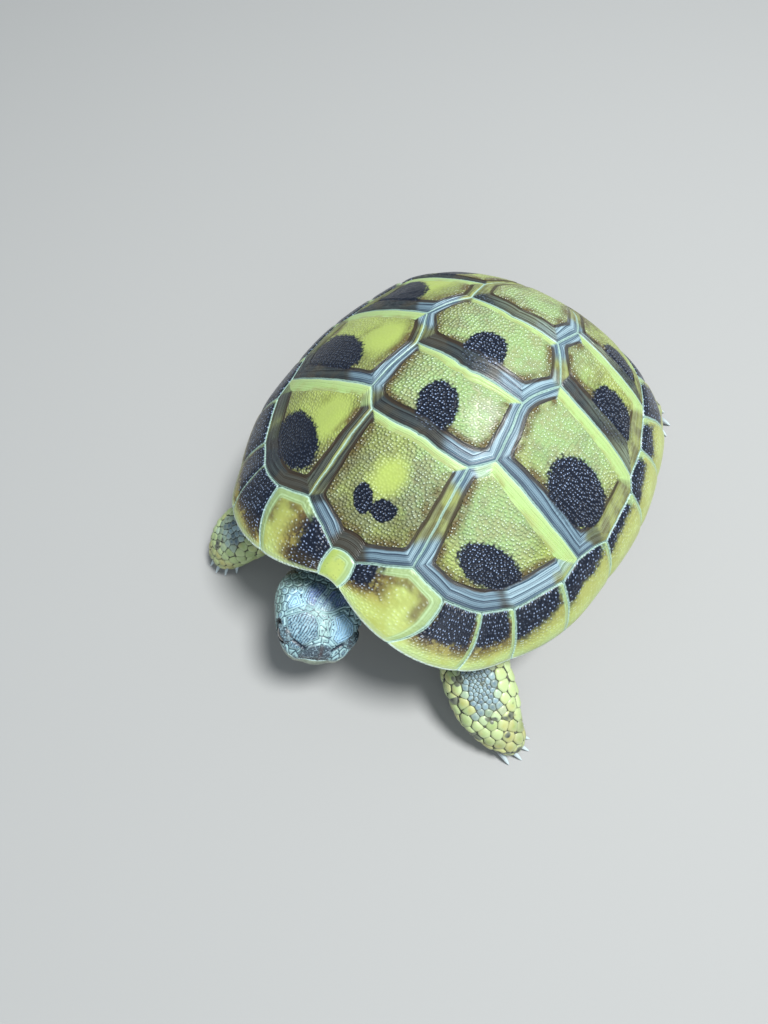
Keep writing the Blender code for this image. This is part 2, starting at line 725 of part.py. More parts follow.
def make_neck(group, trunk_cutter):
    _, left, up = head_axes()
    t, half, top, bottom = HEAD_SECTIONS[0]
    meet = head_point(t - GAP, 0.0, 0.5 * (top + bottom))
    path = NECK_PATH + ((tuple(meet), half, 0.5 * (top - bottom)),)
    neck = tube("neck", group, path, (1.0, 0.2, 0.0), SLATE, steps=2, count=16,
                square=2.25, last=(left, up))
    boolean(neck, "DIFFERENCE", trunk_cutter)


def make_claws(name, cutters, limb):
    """The claws of one foot: curved cones side by side, joined to it later."""
    toe, heading = Vector(limb["toe"]), Vector(limb["heading"]).normalized()
    across = heading.cross(Vector((0, 0, 1))).normalized()
    count = limb["claws"]
    mesh = bmesh.new()
    for k in range(count):
        share = k / (count - 1) * 2.0 - 1.0
        turn = Matrix.Rotation(-share * math.radians(CLAW_FAN), 3, "Z")
        ahead = turn @ heading
        set_back = CLAW_ROOT + 0.9 * share * share
        root = toe + across * (share * limb["spread"] / 2) - heading * set_back
        root.z = CLAW_Z
        length = limb["claw"] + CLAW_ROOT - 0.5 * share * share
        cone = bmesh.ops.create_cone(mesh, cap_ends=True, segments=6,
                                     radius1=CLAW_RADIUS * MM, radius2=CLAW_TIP * MM,
                                     depth=length * MM)
        lean = Vector((0, 0, 1)).rotation_difference(ahead).to_matrix().to_4x4()
        place = Matrix.Translation(to_metres(root + ahead * (length / 2)))
        bmesh.ops.transform(mesh, matrix=place @ lean, verts=cone["verts"])
    data = bpy.data.meshes.new(name)
    mesh.to_mesh(data)
    mesh.free()
    claws = bpy.data.objects.new(name, data)
    claws.hide_render = True
    claws.display_type = "WIRE"
    cutters.objects.link(claws)
    return claws


def make_ground(cutters):
    bpy.ops.mesh.primitive_cube_add(size=1.0, location=(0.0, 0.0, -0.005))
    ground = bpy.context.object
    ground.name = "cut_ground"
    ground.scale = (0.2, 0.2, 0.01)
    bpy.context.view_layer.update()
    ground.data.transform(ground.matrix_world)
    ground.matrix_world = Matrix.Identity(4)
    ground.hide_render = True
    ground.display_type = "WIRE"
    for owner in list(ground.users_collection):
        owner.objects.unlink(ground)
    cutters.objects.link(ground)
    return ground


def make_limbs(group, cutters, trunk_cutter):
    ground = make_ground(cutters)
    for name, limb in LIMBS.items():
        body = tube(name, group, limb["path"], limb["wide"], OLIVE, steps=2, count=12)
        boolean(body, "UNION", make_claws(f"join_claws_{name}", cutters, limb))
        boolean(body, "DIFFERENCE", trunk_cutter)
        boolean(body, "DIFFERENCE", ground)
    tail = tube("tail", group, TAIL_PATH, (1.0, 0.0, 0.0), OLIVE, steps=2, count=12)
    boolean(tail, "DIFFERENCE", trunk_cutter)


# ---------------------------------------------------------------- the animal
def main():
    clear_scene()
    group = new_collection("tortoise")
    cutters = new_collection("cutters")
    make_carapace(group)
    make_plastron(group)
    make_trunk("trunk", group, SKIN)
    trunk_cutter = make_trunk("cut_trunk", cutters, None, grow=GAP)
    make_head(group, cutters)
    make_neck(group, trunk_cutter)
    make_limbs(group, cutters, trunk_cutter)


main()
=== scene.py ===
"""The looks of a juvenile Hermann's tortoise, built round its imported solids.

Sizes are in millimetres in the drawing's axes (head towards -Y, the animal's left at
+X, floor at z = 0); SHIFT moves them to the row's axes and MM makes them metres.
"""
import math

import bpy
import numpy as np
from mathutils import Matrix, Vector
from mathutils.bvhtree import BVHTree

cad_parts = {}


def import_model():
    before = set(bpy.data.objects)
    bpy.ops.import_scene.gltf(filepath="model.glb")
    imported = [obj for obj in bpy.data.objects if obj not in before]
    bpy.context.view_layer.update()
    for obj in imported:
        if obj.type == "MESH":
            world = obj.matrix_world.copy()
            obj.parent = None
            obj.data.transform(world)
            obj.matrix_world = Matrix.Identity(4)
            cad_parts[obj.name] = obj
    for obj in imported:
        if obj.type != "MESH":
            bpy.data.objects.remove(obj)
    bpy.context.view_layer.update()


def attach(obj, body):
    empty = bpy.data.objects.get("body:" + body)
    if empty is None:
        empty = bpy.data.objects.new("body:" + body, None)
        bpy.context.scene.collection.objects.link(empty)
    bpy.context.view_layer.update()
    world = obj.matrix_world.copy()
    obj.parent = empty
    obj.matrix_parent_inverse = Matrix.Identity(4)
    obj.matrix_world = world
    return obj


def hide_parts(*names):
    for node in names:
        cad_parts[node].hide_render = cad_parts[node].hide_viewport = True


MM = 0.001
SHIFT = np.array((-1.73, -1.42, 0.0))
RANDOM = np.random.default_rng(7)

# ---------------------------------------------------------------- the shell's form
AXIS_Y, APEX_Z = 2.4, 30.3
RIM = {
    "front": (0.0, -22.5, 20.2), "nuchal_1": (1.3, -22.7, 20.1), "1_2": (8.5, -24.0, 18.5),
    "2_3": (15.6, -21.5, 15.9), "3_4": (19.4, -16.6, 13.9), "4_5": (22.4, -10.2, 13.0),
    "5_6": (23.2, -2.6, 12.5), "6_7": (23.2, 4.9, 12.5), "7_8": (21.9, 11.7, 12.7),
    "8_9": (19.7, 17.9, 12.8), "9_10": (15.9, 22.4, 11.8), "10_11": (10.5, 25.7, 10.3),
    "11_tail": (5.0, 27.5, 9.2), "rear": (0.0, 27.9, 8.8),
}
# The dome's curve from the apex to the rim in front, at the sides and at the rear: how
# far out its two handles lie and how high the second is, as shares
HANDLES_FRONT = (0.34, 0.76, 0.235)
HANDLES_SIDE = (0.29, 1.05, 0.50)
HANDLES_REAR = (0.615, 0.88, 0.55)
SEAMS = {
    "v1_nuchal": (0.055, -0.850), "v1_c1_m1": (0.223, -0.647), "v1_v2_c1": (0.187, -0.294),
    "v1_v2": (0.0, -0.352), "v2_c1_c2": (0.252, -0.229), "v2_v3_c2": (0.245, -0.024),
    "v2_v3": (0.0, -0.050), "v3_c2_c3": (0.282, 0.134), "v3_v4_c3": (0.148, 0.223),
    "v3_v4": (0.0, 0.184), "v4_c3_c4": (0.166, 0.334), "v4_v5_c4": (0.085, 0.530),
    "v5_c4_m10": (0.290, 0.630), "v5_m11_tail": (0.110, 0.770), "tail": (0.0, 0.770),
    "c1_m1_m2": (0.351, -0.638), "c1_m2_m3": (0.465, -0.587), "c1_m3_m4": (0.551, -0.517),
    "c1_m4_m5": (0.641, -0.345), "c1_c2_m5": (0.648, -0.262), "c2_m5_m6": (0.727, -0.130),
    "c2_m6_m7": (0.705, 0.088), "c2_c3_m7": (0.662, 0.128), "c3_m7_m8": (0.629, 0.250),
    "c3_m8_m9": (0.545, 0.345), "c3_c4_m9": (0.516, 0.372), "c4_m9_m10": (0.430, 0.490),
}
MARGINALS = {
    1: (("v1_nuchal", "v1_c1_m1", "c1_m1_m2"), "nuchal_1", "1_2"),
    2: (("c1_m1_m2", "c1_m2_m3"), "1_2", "2_3"),
    3: (("c1_m2_m3", "c1_m3_m4"), "2_3", "3_4"),
    4: (("c1_m3_m4", "c1_m4_m5"), "3_4", "4_5"),
    5: (("c1_m4_m5", "c1_c2_m5", "c2_m5_m6"), "4_5", "5_6"),
    6: (("c2_m5_m6", "c2_m6_m7"), "5_6", "6_7"),
    7: (("c2_m6_m7", "c2_c3_m7", "c3_m7_m8"), "6_7", "7_8"),
    8: (("c3_m7_m8", "c3_m8_m9"), "7_8", "8_9"),
    9: (("c3_m8_m9", "c3_c4_m9", "c4_m9_m10"), "8_9", "9_10"),
    10: (("c4_m9_m10", "v5_c4_m10"), "9_10", "10_11"),
    11: (("v5_c4_m10", "v5_m11_tail"), "10_11", "11_tail"),
    12: (("v5_m11_tail", "tail"), "11_tail", "rear"),
}
COSTALS = {
    1: ("v1_c1_m1", "c1_m1_m2", "c1_m2_m3", "c1_m3_m4", "c1_m4_m5", "c1_c2_m5",
        "v2_c1_c2", "v1_v2_c1"),
    2: ("v2_c1_c2", "c1_c2_m5", "c2_m5_m6", "c2_m6_m7", "c2_c3_m7", "v3_c2_c3", "v2_v3_c2"),
    3: ("v3_c2_c3", "c2_c3_m7", "c3_m7_m8", "c3_m8_m9", "c3_c4_m9", "v4_c3_c4", "v3_v4_c3"),
    4: ("v4_c3_c4", "c3_c4_m9", "c4_m9_m10", "v5_c4_m10", "v4_v5_c4"),
}
VERTEBRALS = {
    1: ("v1_nuchal", "v1_c1_m1", "v1_v2_c1", "v1_v2"),
    2: ("v1_v2", "v1_v2_c1", "v2_c1_c2", "v2_v3_c2", "v2_v3"),
    3: ("v2_v3", "v2_v3_c2", "v3_c2_c3", "v3_v4_c3", "v3_v4"),
    4: ("v3_v4", "v3_v4_c3", "v4_c3_c4", "v4_v5_c4"),
    5: ("v4_v5_c4", "v5_c4_m10", "v5_m11_tail"),
}
# The rim's underside at the openings and at the bridge, and the underside's plates, in mm
LEDGE_OPEN, LEDGE_BRIDGE, LEDGE_DROP, LEDGE_THICK = 2.9, 4.6, 0.2, 0.9
BRIDGE_Z, BRIDGE_ANGLES = 7.1, (46.0, 60.0, 103.0, 116.0)
PLASTRON_Z, PLASTRON_FLAT, PLASTRON_RISE, PLASTRON_EDGE = 3.6, 14.0, 3.1, 18.4
LOBE_FRONT_Y, LOBE_RISE, PLASTRON_THICK = -14.0, 0.9, 1.2
PLASTRON = {
    "gular": ((0.0, -20.2), (2.9, -20.4), (5.2, -19.2), (0.0, -15.8)),
    "humeral": ((0.0, -15.8), (5.2, -19.2), (8.8, -16.9), (11.7, -13.2), (6.0, -11.0),
                (0.0, -10.6)),
    "pectoral": ((0.0, -10.6), (6.0, -11.0), (11.7, -13.2), (13.0, -10.6), (17.6, -8.0),
                 (18.3, -3.6), (9.0, -5.0), (0.0, -7.6)),
    "abdominal": ((0.0, -7.6), (9.0, -5.0), (18.3, -3.6), (18.3, 4.8), (17.0, 9.0),
                  (13.2, 11.0), (8.0, 8.4), (0.0, 6.4)),
    "femoral": ((0.0, 6.4), (8.0, 8.4), (13.2, 11.0), (13.0, 14.6), (10.4, 18.8),
                (5.0, 16.2), (0.0, 14.0)),
    "anal": ((0.0, 14.0), (5.0, 16.2), (10.4, 18.8), (6.8, 22.0), (3.4, 22.9), (0.0, 21.0)),
}

# Growth round each hatchling plate, in mm: front, rear, towards the spine, outward
GROWTH = {
    "vertebral": (2.0, 1.45, 1.7, 1.7),
    "costal": (2.0, 1.8, 1.5, 2.4),
    "belly": (1.6, 0.9, 0.9, 0.7),
}
# Each side's growth at the corner it narrows to and at the other one
TAPER = {"vertebral": (0.65, 1.15), "costal": (0.70, 1.20), "belly": (1.0, 1.0)}
RING_HEIGHT = 0.035            # mm, the growth rings' relief
RING_APART, RIM_RING_APART = 0.33, 0.30    # mm between rings, on the disc and the rim
RELIEF_EDGE, RELIEF_TOP = -0.12, 0.17      # mm, a plate's edge and middle over the solid
OLD_GROOVE = (0.045, 0.22, 0.14)           # mm: depth, way out and width round the old plate
OLD_STEP, OLD_HUMP = 0.06, 0.03            # mm, the old plate's rise at its edge and middle

# Black blotches of the right and left plates: place on the disc, half width and half
# length in mm, and the turn of the first from the animal's left, in degrees.
BLOTCHES = {
    "vertebral_1": ((-0.049, -0.624, 1.7, 0.95, 129.0), (0.044, -0.623, 1.35, 1.2, 19.0)),
    "vertebral_2": ((-0.002, -0.236, 3.0, 1.8, 131.0),),
    "vertebral_3": ((0.009, 0.035, 2.6, 2.15, 110.0),),
    "vertebral_4": ((-0.110, 0.225, 2.0, 0.8, 150.0),),
    "vertebral_5": ((0.0, 0.640, 3.6, 1.5, 0.0),),
    "costal_left_1": ((0.398, -0.465, 3.5, 2.1, 0.0),),
    "costal_left_2": ((0.528, -0.113, 4.3, 3.0, 171.0),),
    "costal_left_3": ((0.466, 0.216, 3.6, 2.15, 15.0),),
    "costal_left_4": ((0.345, 0.401, 2.8, 2.0, 159.0),),
    "costal_right_1": ((-0.375, -0.465, 4.0, 2.7, 161.0), (-0.47, -0.50, 2.6, 2.2, 140.0)),
    "costal_right_2": ((-0.505, -0.128, 4.6, 2.5, 168.0), (-0.62, -0.16, 2.6, 2.4, 0.0)),
    "costal_right_3": ((-0.460, 0.240, 4.6, 2.4, 149.0),),
    "costal_right_4": ((-0.345, 0.440, 2.8, 2.0, 20.0),),
}
# Smooth bright humps, the same way
LIGHTS = {
    "vertebral_1": ((-0.005, -0.520, 2.9, 2.3, 100.0),),
    "costal_right_1": ((-0.30, -0.36, 4.2, 3.4, 60.0),),
    "costal_right_2": ((-0.37, -0.03, 4.0, 3.2, 60.0),),
    "costal_right_3": ((-0.34, 0.27, 4.0, 3.0, 60.0),),
}
# Where the growth is an icy blue (partly a painted sky reflection), dusky (partly painted
# shade) or worn, where the beads are few, and where the horn is paler with more bead glints
# (a painted sky sheen): places on the disc and how far each reaches
ZONES = {
    # blue: bluish growth, partly its own colour and partly a painted sky reflection
    "blue": ((-0.27, -0.15, 0.12), (-0.25, 0.16, 0.10), (0.21, -0.23, 0.15), (0.23, -0.09, 0.13),
             (0.36, -0.24, 0.14), (0.52, -0.25, 0.14), (0.30, -0.61, 0.13), (0.43, -0.61, 0.12),
             (0.55, -0.43, 0.10), (0.68, -0.25, 0.07), (-0.15, -0.74, 0.10), (0.16, -0.70, 0.13),
             (0.15, 0.28, 0.12), (0.22, 0.05, 0.11)),
    # darker horn on the right side, partly its own colour and partly painted shade
    "dusk": ((-0.24, -0.50, 0.16), (-0.21, -0.36, 0.14), (-0.30, -0.10, 0.18), (-0.30, 0.18, 0.18),
             (-0.52, -0.62, 0.22), (-0.66, -0.30, 0.22), (-0.05, -0.76, 0.12)),
    "ashen": ((-0.10, -0.55, 0.17), (0.04, -0.64, 0.15), (0.10, -0.50, 0.12)),
    "worn": ((0.04, 0.33, 0.16), (0.28, 0.33, 0.10), (0.435, 0.277, 0.12), (0.571, 0.289, 0.12),
             (0.62, 0.10, 0.12)),
    "calm": ((-0.50, -0.42, 0.30), (-0.46, -0.05, 0.28), (-0.40, 0.28, 0.26)),
    # pale: painted sky sheen, paler horn with more painted glints
    "pale": ((0.02, -0.10, 0.30), (0.34, -0.36, 0.17), (0.05, 0.16, 0.30), (0.42, 0.00, 0.22),
             (0.14, -0.42, 0.16)),
}
# How far each seam between rim plates bows backwards, in mm, from the nuchal plate on
RIM_BOWS = (0.30, 0.75, 0.40, 0.25, 0.20, 0.20, 0.20, 0.20, 0.20, 0.20, 0.20, 0.20, 0.0)
RIM_NOTCH = 0.22               # mm, where two rim plates meet at the edge
RIM_GROWTH = (1.1, 0.8, 0.9)   # mm of growth at a rim plate's front, rear and inner side
RIM_COLUMN = 0.22              # mm between the points along the rim
DISC_MM = 25.0                 # mm for one unit of the disc, near the rim
# Dark patches of the rim plates: depth from the inner seam at the front and rear end, as
# shares of the plate's width, where along the plate they start and stop, and how brown
# the horn is round them.
RIM_PATCHES = {
    "left": ((0.52, 0.02, -0.2, 0.32, 1.0), (0.56, 0.50, 0.02, 0.86, 1.0),
             (0.54, 0.38, -0.1, 0.82, 0.9), (0.54, 0.22, -0.1, 0.86, 0.4),
             (0.38, 0.16, -0.1, 0.84, 0.2), (0.22, 0.10, -0.1, 0.80, 0.2),
             (0.26, 0.12, -0.1, 0.78, 0.2), (0.28, 0.13, -0.1, 0.76, 0.2),
             (0.46, 0.24, -0.1, 0.80, 0.3), (0.50, 0.26, -0.1, 0.82, 0.3),
             (0.54, 0.30, -0.1, 0.82, 0.3), (0.52, 0.24, -0.1, 0.78, 0.3)),
    "right": ((1.50, 0.15, -0.2, 0.46, 1.0), (0.78, 0.60, -0.1, 0.92, 1.0),
              (0.72, 0.50, -0.1, 0.88, 1.0), (0.66, 0.45, -0.1, 0.88, 1.0),
              (0.60, 0.38, -0.1, 0.86, 0.8), (0.55, 0.32, -0.1, 0.86, 0.6),
              (0.52, 0.30, -0.1, 0.84, 0.5), (0.52, 0.28, -0.1, 0.82, 0.4),
              (0.50, 0.26, -0.1, 0.80, 0.3), (0.52, 0.28, -0.1, 0.82, 0.3),
              (0.54, 0.30, -0.1, 0.82, 0.3), (0.52, 0.24, -0.1, 0.78, 0.3)),
}


# ---------------------------------------------------------------- the dome
def smooth(low, high, value):
    """A smooth step from 0 to 1 as the value goes from low to high."""
    x = np.clip((value - low) / (high - low), 0.0, 1.0)
    return x * x * (3.0 - 2.0 * x)


def mix(a, b, share):
    """From a to b by a share."""
    return a + (b - a) * share


def unit(v):
    """Vectors brought to length 1."""
    return v / np.maximum(np.linalg.norm(v, axis=-1, keepdims=True), 1e-12)


def circle(count, start=0.0):
    """Even angles once round, from a share of a step on."""
    return 2 * math.pi * (np.arange(count) + start) / count


def rim_angle(key):
    """Angle from the front, round the shell's axis, of a point of the rim."""
    x, y, _ = RIM[key]
    return math.atan2(x, AXIS_Y - y)


def rim_table():
    """Angles, (radius, height) and slopes at the rim's points."""
    angles = np.array([rim_angle(key) for key in RIM])
    values = np.array([(math.hypot(x, y - AXIS_Y), z) for x, y, z in RIM.values()])
    wide = np.concatenate(([-angles[1]], angles, [2 * math.pi - angles[-2]]))
    tall = np.concatenate((values[1:2], values, values[-2:-1]))
    slopes = (tall[2:] - tall[:-2]) / (wide[2:] - wide[:-2])[:, None]
    return angles, values, slopes


RIM_ANGLES, RIM_VALUES, RIM_SLOPES = rim_table()


def rim_polar(angle):
    """Radius and height of the rim at angles from the front, 0 to pi."""
    k = np.clip(np.searchsorted(RIM_ANGLES, angle) - 1, 0, len(RIM_ANGLES) - 2)
    span = RIM_ANGLES[k + 1] - RIM_ANGLES[k]
    u = ((angle - RIM_ANGLES[k]) / span)[..., None]
    span = span[..., None]
    return ((2 * u**3 - 3 * u**2 + 1) * RIM_VALUES[k]
            + (u**3 - 2 * u**2 + u) * span * RIM_SLOPES[k]
            + (3 * u**2 - 2 * u**3) * RIM_VALUES[k + 1]
            + (u**3 - u**2) * span * RIM_SLOPES[k + 1])


def dome_raw(p):
    """The solid shell's place for a place on the unit disc."""
    a, b = p[..., 0], p[..., 1]
    share = np.minimum(np.hypot(a, b), 1.0)
    angle = np.arctan2(a, -b)
    rim = rim_polar(np.abs(angle))
    front = np.maximum(np.cos(angle), 0.0) ** 2
    rear = np.maximum(-np.cos(angle), 0.0) ** 2
    side = 1.0 - front - rear
    first, second, height = (front * f + side * s + rear * r for f, s, r in
                             zip(HANDLES_FRONT, HANDLES_SIDE, HANDLES_REAR))
    q = 1.0 - share
    out = rim[..., 0] * (3 * q * q * share * first + 3 * q * share**2 * second + share**3)
    up = q**3 + 3 * q * q * share + 3 * q * share**2 * height
    z = rim[..., 1] + (APEX_Z - rim[..., 1]) * up
    return np.stack((out * np.sin(angle), AXIS_Y - out * np.cos(angle), z), -1)


def dome_normal(p):
    """The outward direction on the dome, taken over small steps of the disc."""
    step = 0.012
    share = np.hypot(p[..., 0], p[..., 1])[..., None]
    p = np.where(share > 0.985, p * 0.985 / np.maximum(share, 1e-9), p)
    da, db = np.array((step, 0.0)), np.array((0.0, step))
    across = dome_raw(p + da) - dome_raw(p - da)
    along = dome_raw(p + db) - dome_raw(p - db)
    return unit(np.cross(across, along))


def dome(p, lift):
    """The shell's place for a place on the disc, lifted outwards in mm."""
    return dome_raw(p) + dome_normal(p) * np.asarray(lift)[..., None]


def waver(p):
    """A slight unevenness of the seams, the same for both plates at a seam."""
    a, b = p[..., 0], p[..., 1]
    keep = 1.0 - smooth(0.80, 0.95, np.hypot(a, b))
    da = 0.0012 * np.sin(31 * a + 23 * b + 1.0) + 0.0006 * np.sin(71 * b - 37 * a)
    db = 0.0012 * np.sin(29 * b - 19 * a + 2.0) + 0.0006 * np.sin(67 * a + 41 * b)
    return p + np.stack((da * keep, db * keep), -1)


# ---------------------------------------------------------------- meshes
def make_mesh(name, points, faces, values=None, uv=None, material=None):
    """A mesh piece in the row's axes.  points in mm, faces an array of quads or
    triangles, or a list of such arrays; values one number per point and name."""
    if not isinstance(faces, list):
        faces = [faces]
    loops = np.concatenate([f.reshape(-1) for f in faces])
    totals = np.concatenate([np.full(len(f), f.shape[1]) for f in faces])
    starts = np.concatenate(([0], np.cumsum(totals)[:-1]))
    mesh = bpy.data.meshes.new(name)
    mesh.vertices.add(len(points))
    mesh.vertices.foreach_set("co", ((points + SHIFT) * MM).astype(np.float32).reshape(-1))
    mesh.loops.add(len(loops))
    mesh.loops.foreach_set("vertex_index", loops.astype(np.int32))
    mesh.polygons.add(len(totals))
    mesh.polygons.foreach_set("loop_start", starts.astype(np.int32))
    mesh.polygons.foreach_set("loop_total", totals.astype(np.int32))
    mesh.update(calc_edges=True)
    for key, value in (values or {}).items():
        value = np.asarray(value, np.float32)
        if value.ndim == 2:
            layer = mesh.attributes.new(key, "FLOAT_VECTOR", "POINT")
            layer.data.foreach_set("vector", value.reshape(-1))
        else:
            layer = mesh.attributes.new(key, "FLOAT", "POINT")
            layer.data.foreach_set("value", value)
    if uv is not None:
        layer = mesh.uv_layers.new(name="OFBake")
        layer.data.foreach_set("uv", uv[loops].astype(np.float32).reshape(-1))
    mesh.validate(clean_customdata=False)
    mesh.shade_smooth()
    piece = bpy.data.objects.new(name, mesh)
    bpy.context.scene.collection.objects.link(piece)
    if material is not None:
        mesh.materials.append(material)
    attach(piece, "root")
    return piece


def grid_faces(rows, columns, wrap=True):
    """Quads between rows of a grid of points; wrap joins the last column to the first."""
    i = np.arange(rows - 1)[:, None] * columns
    j = np.arange(columns if wrap else columns - 1)[None, :]
    k = (j + 1) % columns
    faces = np.stack((i + j, i + k, i + columns + k, i + columns + j), -1)
    return faces.reshape(-1, 4)


def fit_uv(flat):
    """Flat places scaled into the unit square, with a margin."""
    margin = 0.02
    low, high = flat.min(0), flat.max(0)
    return margin + (flat - low) / (high - low).max() * (1.0 - 2.0 * margin)


# ---------------------------------------------------------------- plates
def outline_walk(corners, surface, spacing):
    """Points along a closed outline: the place, the side's number, how far along it."""
    places, sides, along = [], [], []
    for i, p in enumerate(corners):
        q = corners[(i + 1) % len(corners)]
        line = p + (q - p) * np.linspace(0, 1, 9)[:, None]
        length = np.linalg.norm(np.diff(surface(line, np.zeros(9)), axis=0), axis=1).sum()
        count = max(2, int(round(length / spacing)))
        u = np.arange(count) / count
        places.append(p + (q - p) * u[:, None])
        sides.append(np.full(count, i))
        along.append(u)
    return np.concatenate(places), np.concatenate(sides), np.concatenate(along)


def side_normals(corners):
    """Inward unit normals of an outline's sides."""
    step = np.roll(corners, -1, axis=0) - corners
    area = (corners[:, 0] * np.roll(corners[:, 1], -1)
            - np.roll(corners[:, 0], -1) * corners[:, 1]).sum()
    normal = unit(np.stack((-step[:, 1], step[:, 0]), -1))
    return normal if area > 0 else -normal


def moved_corners(corners, widths, taper):
    """The corners of an outline whose sides have each moved in by a width."""
    normal = side_normals(corners)
    moved = np.empty_like(corners)
    for i in range(len(corners)):
        before, after = normal[i - 1], normal[i]
        first, second = widths[i - 1] * taper[i], widths[i] * taper[i]
        cross = before[0] * after[1] - before[1] * after[0]
        if abs(cross) < 0.30:
            step = unit(before + after) * 0.5 * (first + second)
        else:
            step = np.linalg.solve(np.stack((before, after)), (first, second))
        moved[i] = corners[i] + step
    return moved


def blur_round(values, times):
    """Averages each value with its neighbours on a closed line."""
    for _ in range(times):
        values = 0.25 * np.roll(values, 1, 0) + 0.5 * values + 0.25 * np.roll(values, -1, 0)
    return values


def blob(points, frame, spots):
    """How deep each point lies in any of the spots: 1 at a centre, 0 at the edge."""
    best = np.full(points.shape[:-1], -3.0)
    surface, across, along = frame
    for a, b, wide, long, turn in spots:
        centre = surface(np.array((a, b)), np.array(0.0))
        x, y = (points - centre) @ across, (points - centre) @ along
        c, s = math.cos(math.radians(turn)), math.sin(math.radians(turn))
        x, y = c * x + s * y, c * y - s * x
        best = np.maximum(best, 1.0 - np.sqrt((x / wide) ** 2 + (y / long) ** 2))
    return best


def growth_widths(corners, surface, centre, kind, side):
    """The growth along each side of a plate, in outline units, and the way it faces."""
    front, rear, inner, outer = GROWTH[kind]
    normal = side_normals(corners)
    middle = 0.5 * (corners + np.roll(corners, -1, axis=0))
    zero = np.zeros(len(corners))
    step = 0.02
    scale = np.linalg.norm(surface(middle + normal * step, zero) - surface(middle, zero),
                           axis=1) / step
    here = surface(centre[None], np.zeros(1))[0]
    level = unit((surface(middle, zero) - here) * np.array((1.0, 1.0, 0.6)))
    faces = {
        "front": np.maximum(-level[:, 1], 0.0) ** 2,
        "rear": np.maximum(level[:, 1], 0.0) ** 2,
    }
    lateral = 1.0 - faces["front"] - faces["rear"]
    outward = level[:, 0] * side > 0
    faces["inner"] = np.where(outward & (kind != "vertebral"), 0.0, lateral)
    faces["outer"] = lateral - faces["inner"]
    width = (faces["front"] * front + faces["rear"] * rear + faces["inner"] * inner
             + faces["outer"] * outer)
    low, high = TAPER[kind]
    if kind == "vertebral":
        share = (corners[:, 1].max() - corners[:, 1]) / np.ptp(corners[:, 1])
    else:
        out = np.hypot(corners[:, 0], corners[:, 1])
        share = (out - out.min()) / np.ptp(out)
    return width / scale, faces, mix(low, high, share)


def plate_lift(seam, ring, growth, rear, edge, relief):
    """A plate's height over the solid: rings in the growth, then the old plate's step."""
    wave = RING_HEIGHT * np.cos(seam * 2 * math.pi / RING_APART) * (1.0 - 0.8 * rear)
    wave = wave * smooth(0.10, 0.25, seam) * (1.0 - smooth(-0.25, 0.0, ring))
    lift = mix(edge, relief - 0.07, smooth(0.0, 0.22, seam) * 0.45 + 0.55 * growth)
    lift = lift + wave * (relief > 0.0)
    deep, out, wide = OLD_GROOVE
    lift = lift - deep * np.exp(-((ring + out) / wide) ** 2) * (1.0 - rear)
    return lift + OLD_STEP * smooth(-0.10, 0.12, ring) + OLD_HUMP * smooth(0.8, 3.0, ring)


def tangent_frame(surface, centre):
    """A place on a surface, with its directions across, back and up."""
    flat = centre + np.array(((0.0, 0.0), (0.02, 0.0), (0.0, 0.02)))
    here, near, down = surface(flat, np.zeros(3))
    across, back = unit(near - here), unit(down - here)
    return here, across, back, unit(np.cross(across, back))


def zone_shares(places):
    """How deep each place on the disc lies in each of the zones, from 0 to 1."""
    shares = {}
    for key, spots in ZONES.items():
        shares[key] = np.zeros(len(places))
        for a, b, reach in spots:
            far = np.hypot(places[:, 0] - a, places[:, 1] - b)
            shares[key] = np.maximum(shares[key], smooth(reach * 1.25, reach * 0.45, far))
    return shares


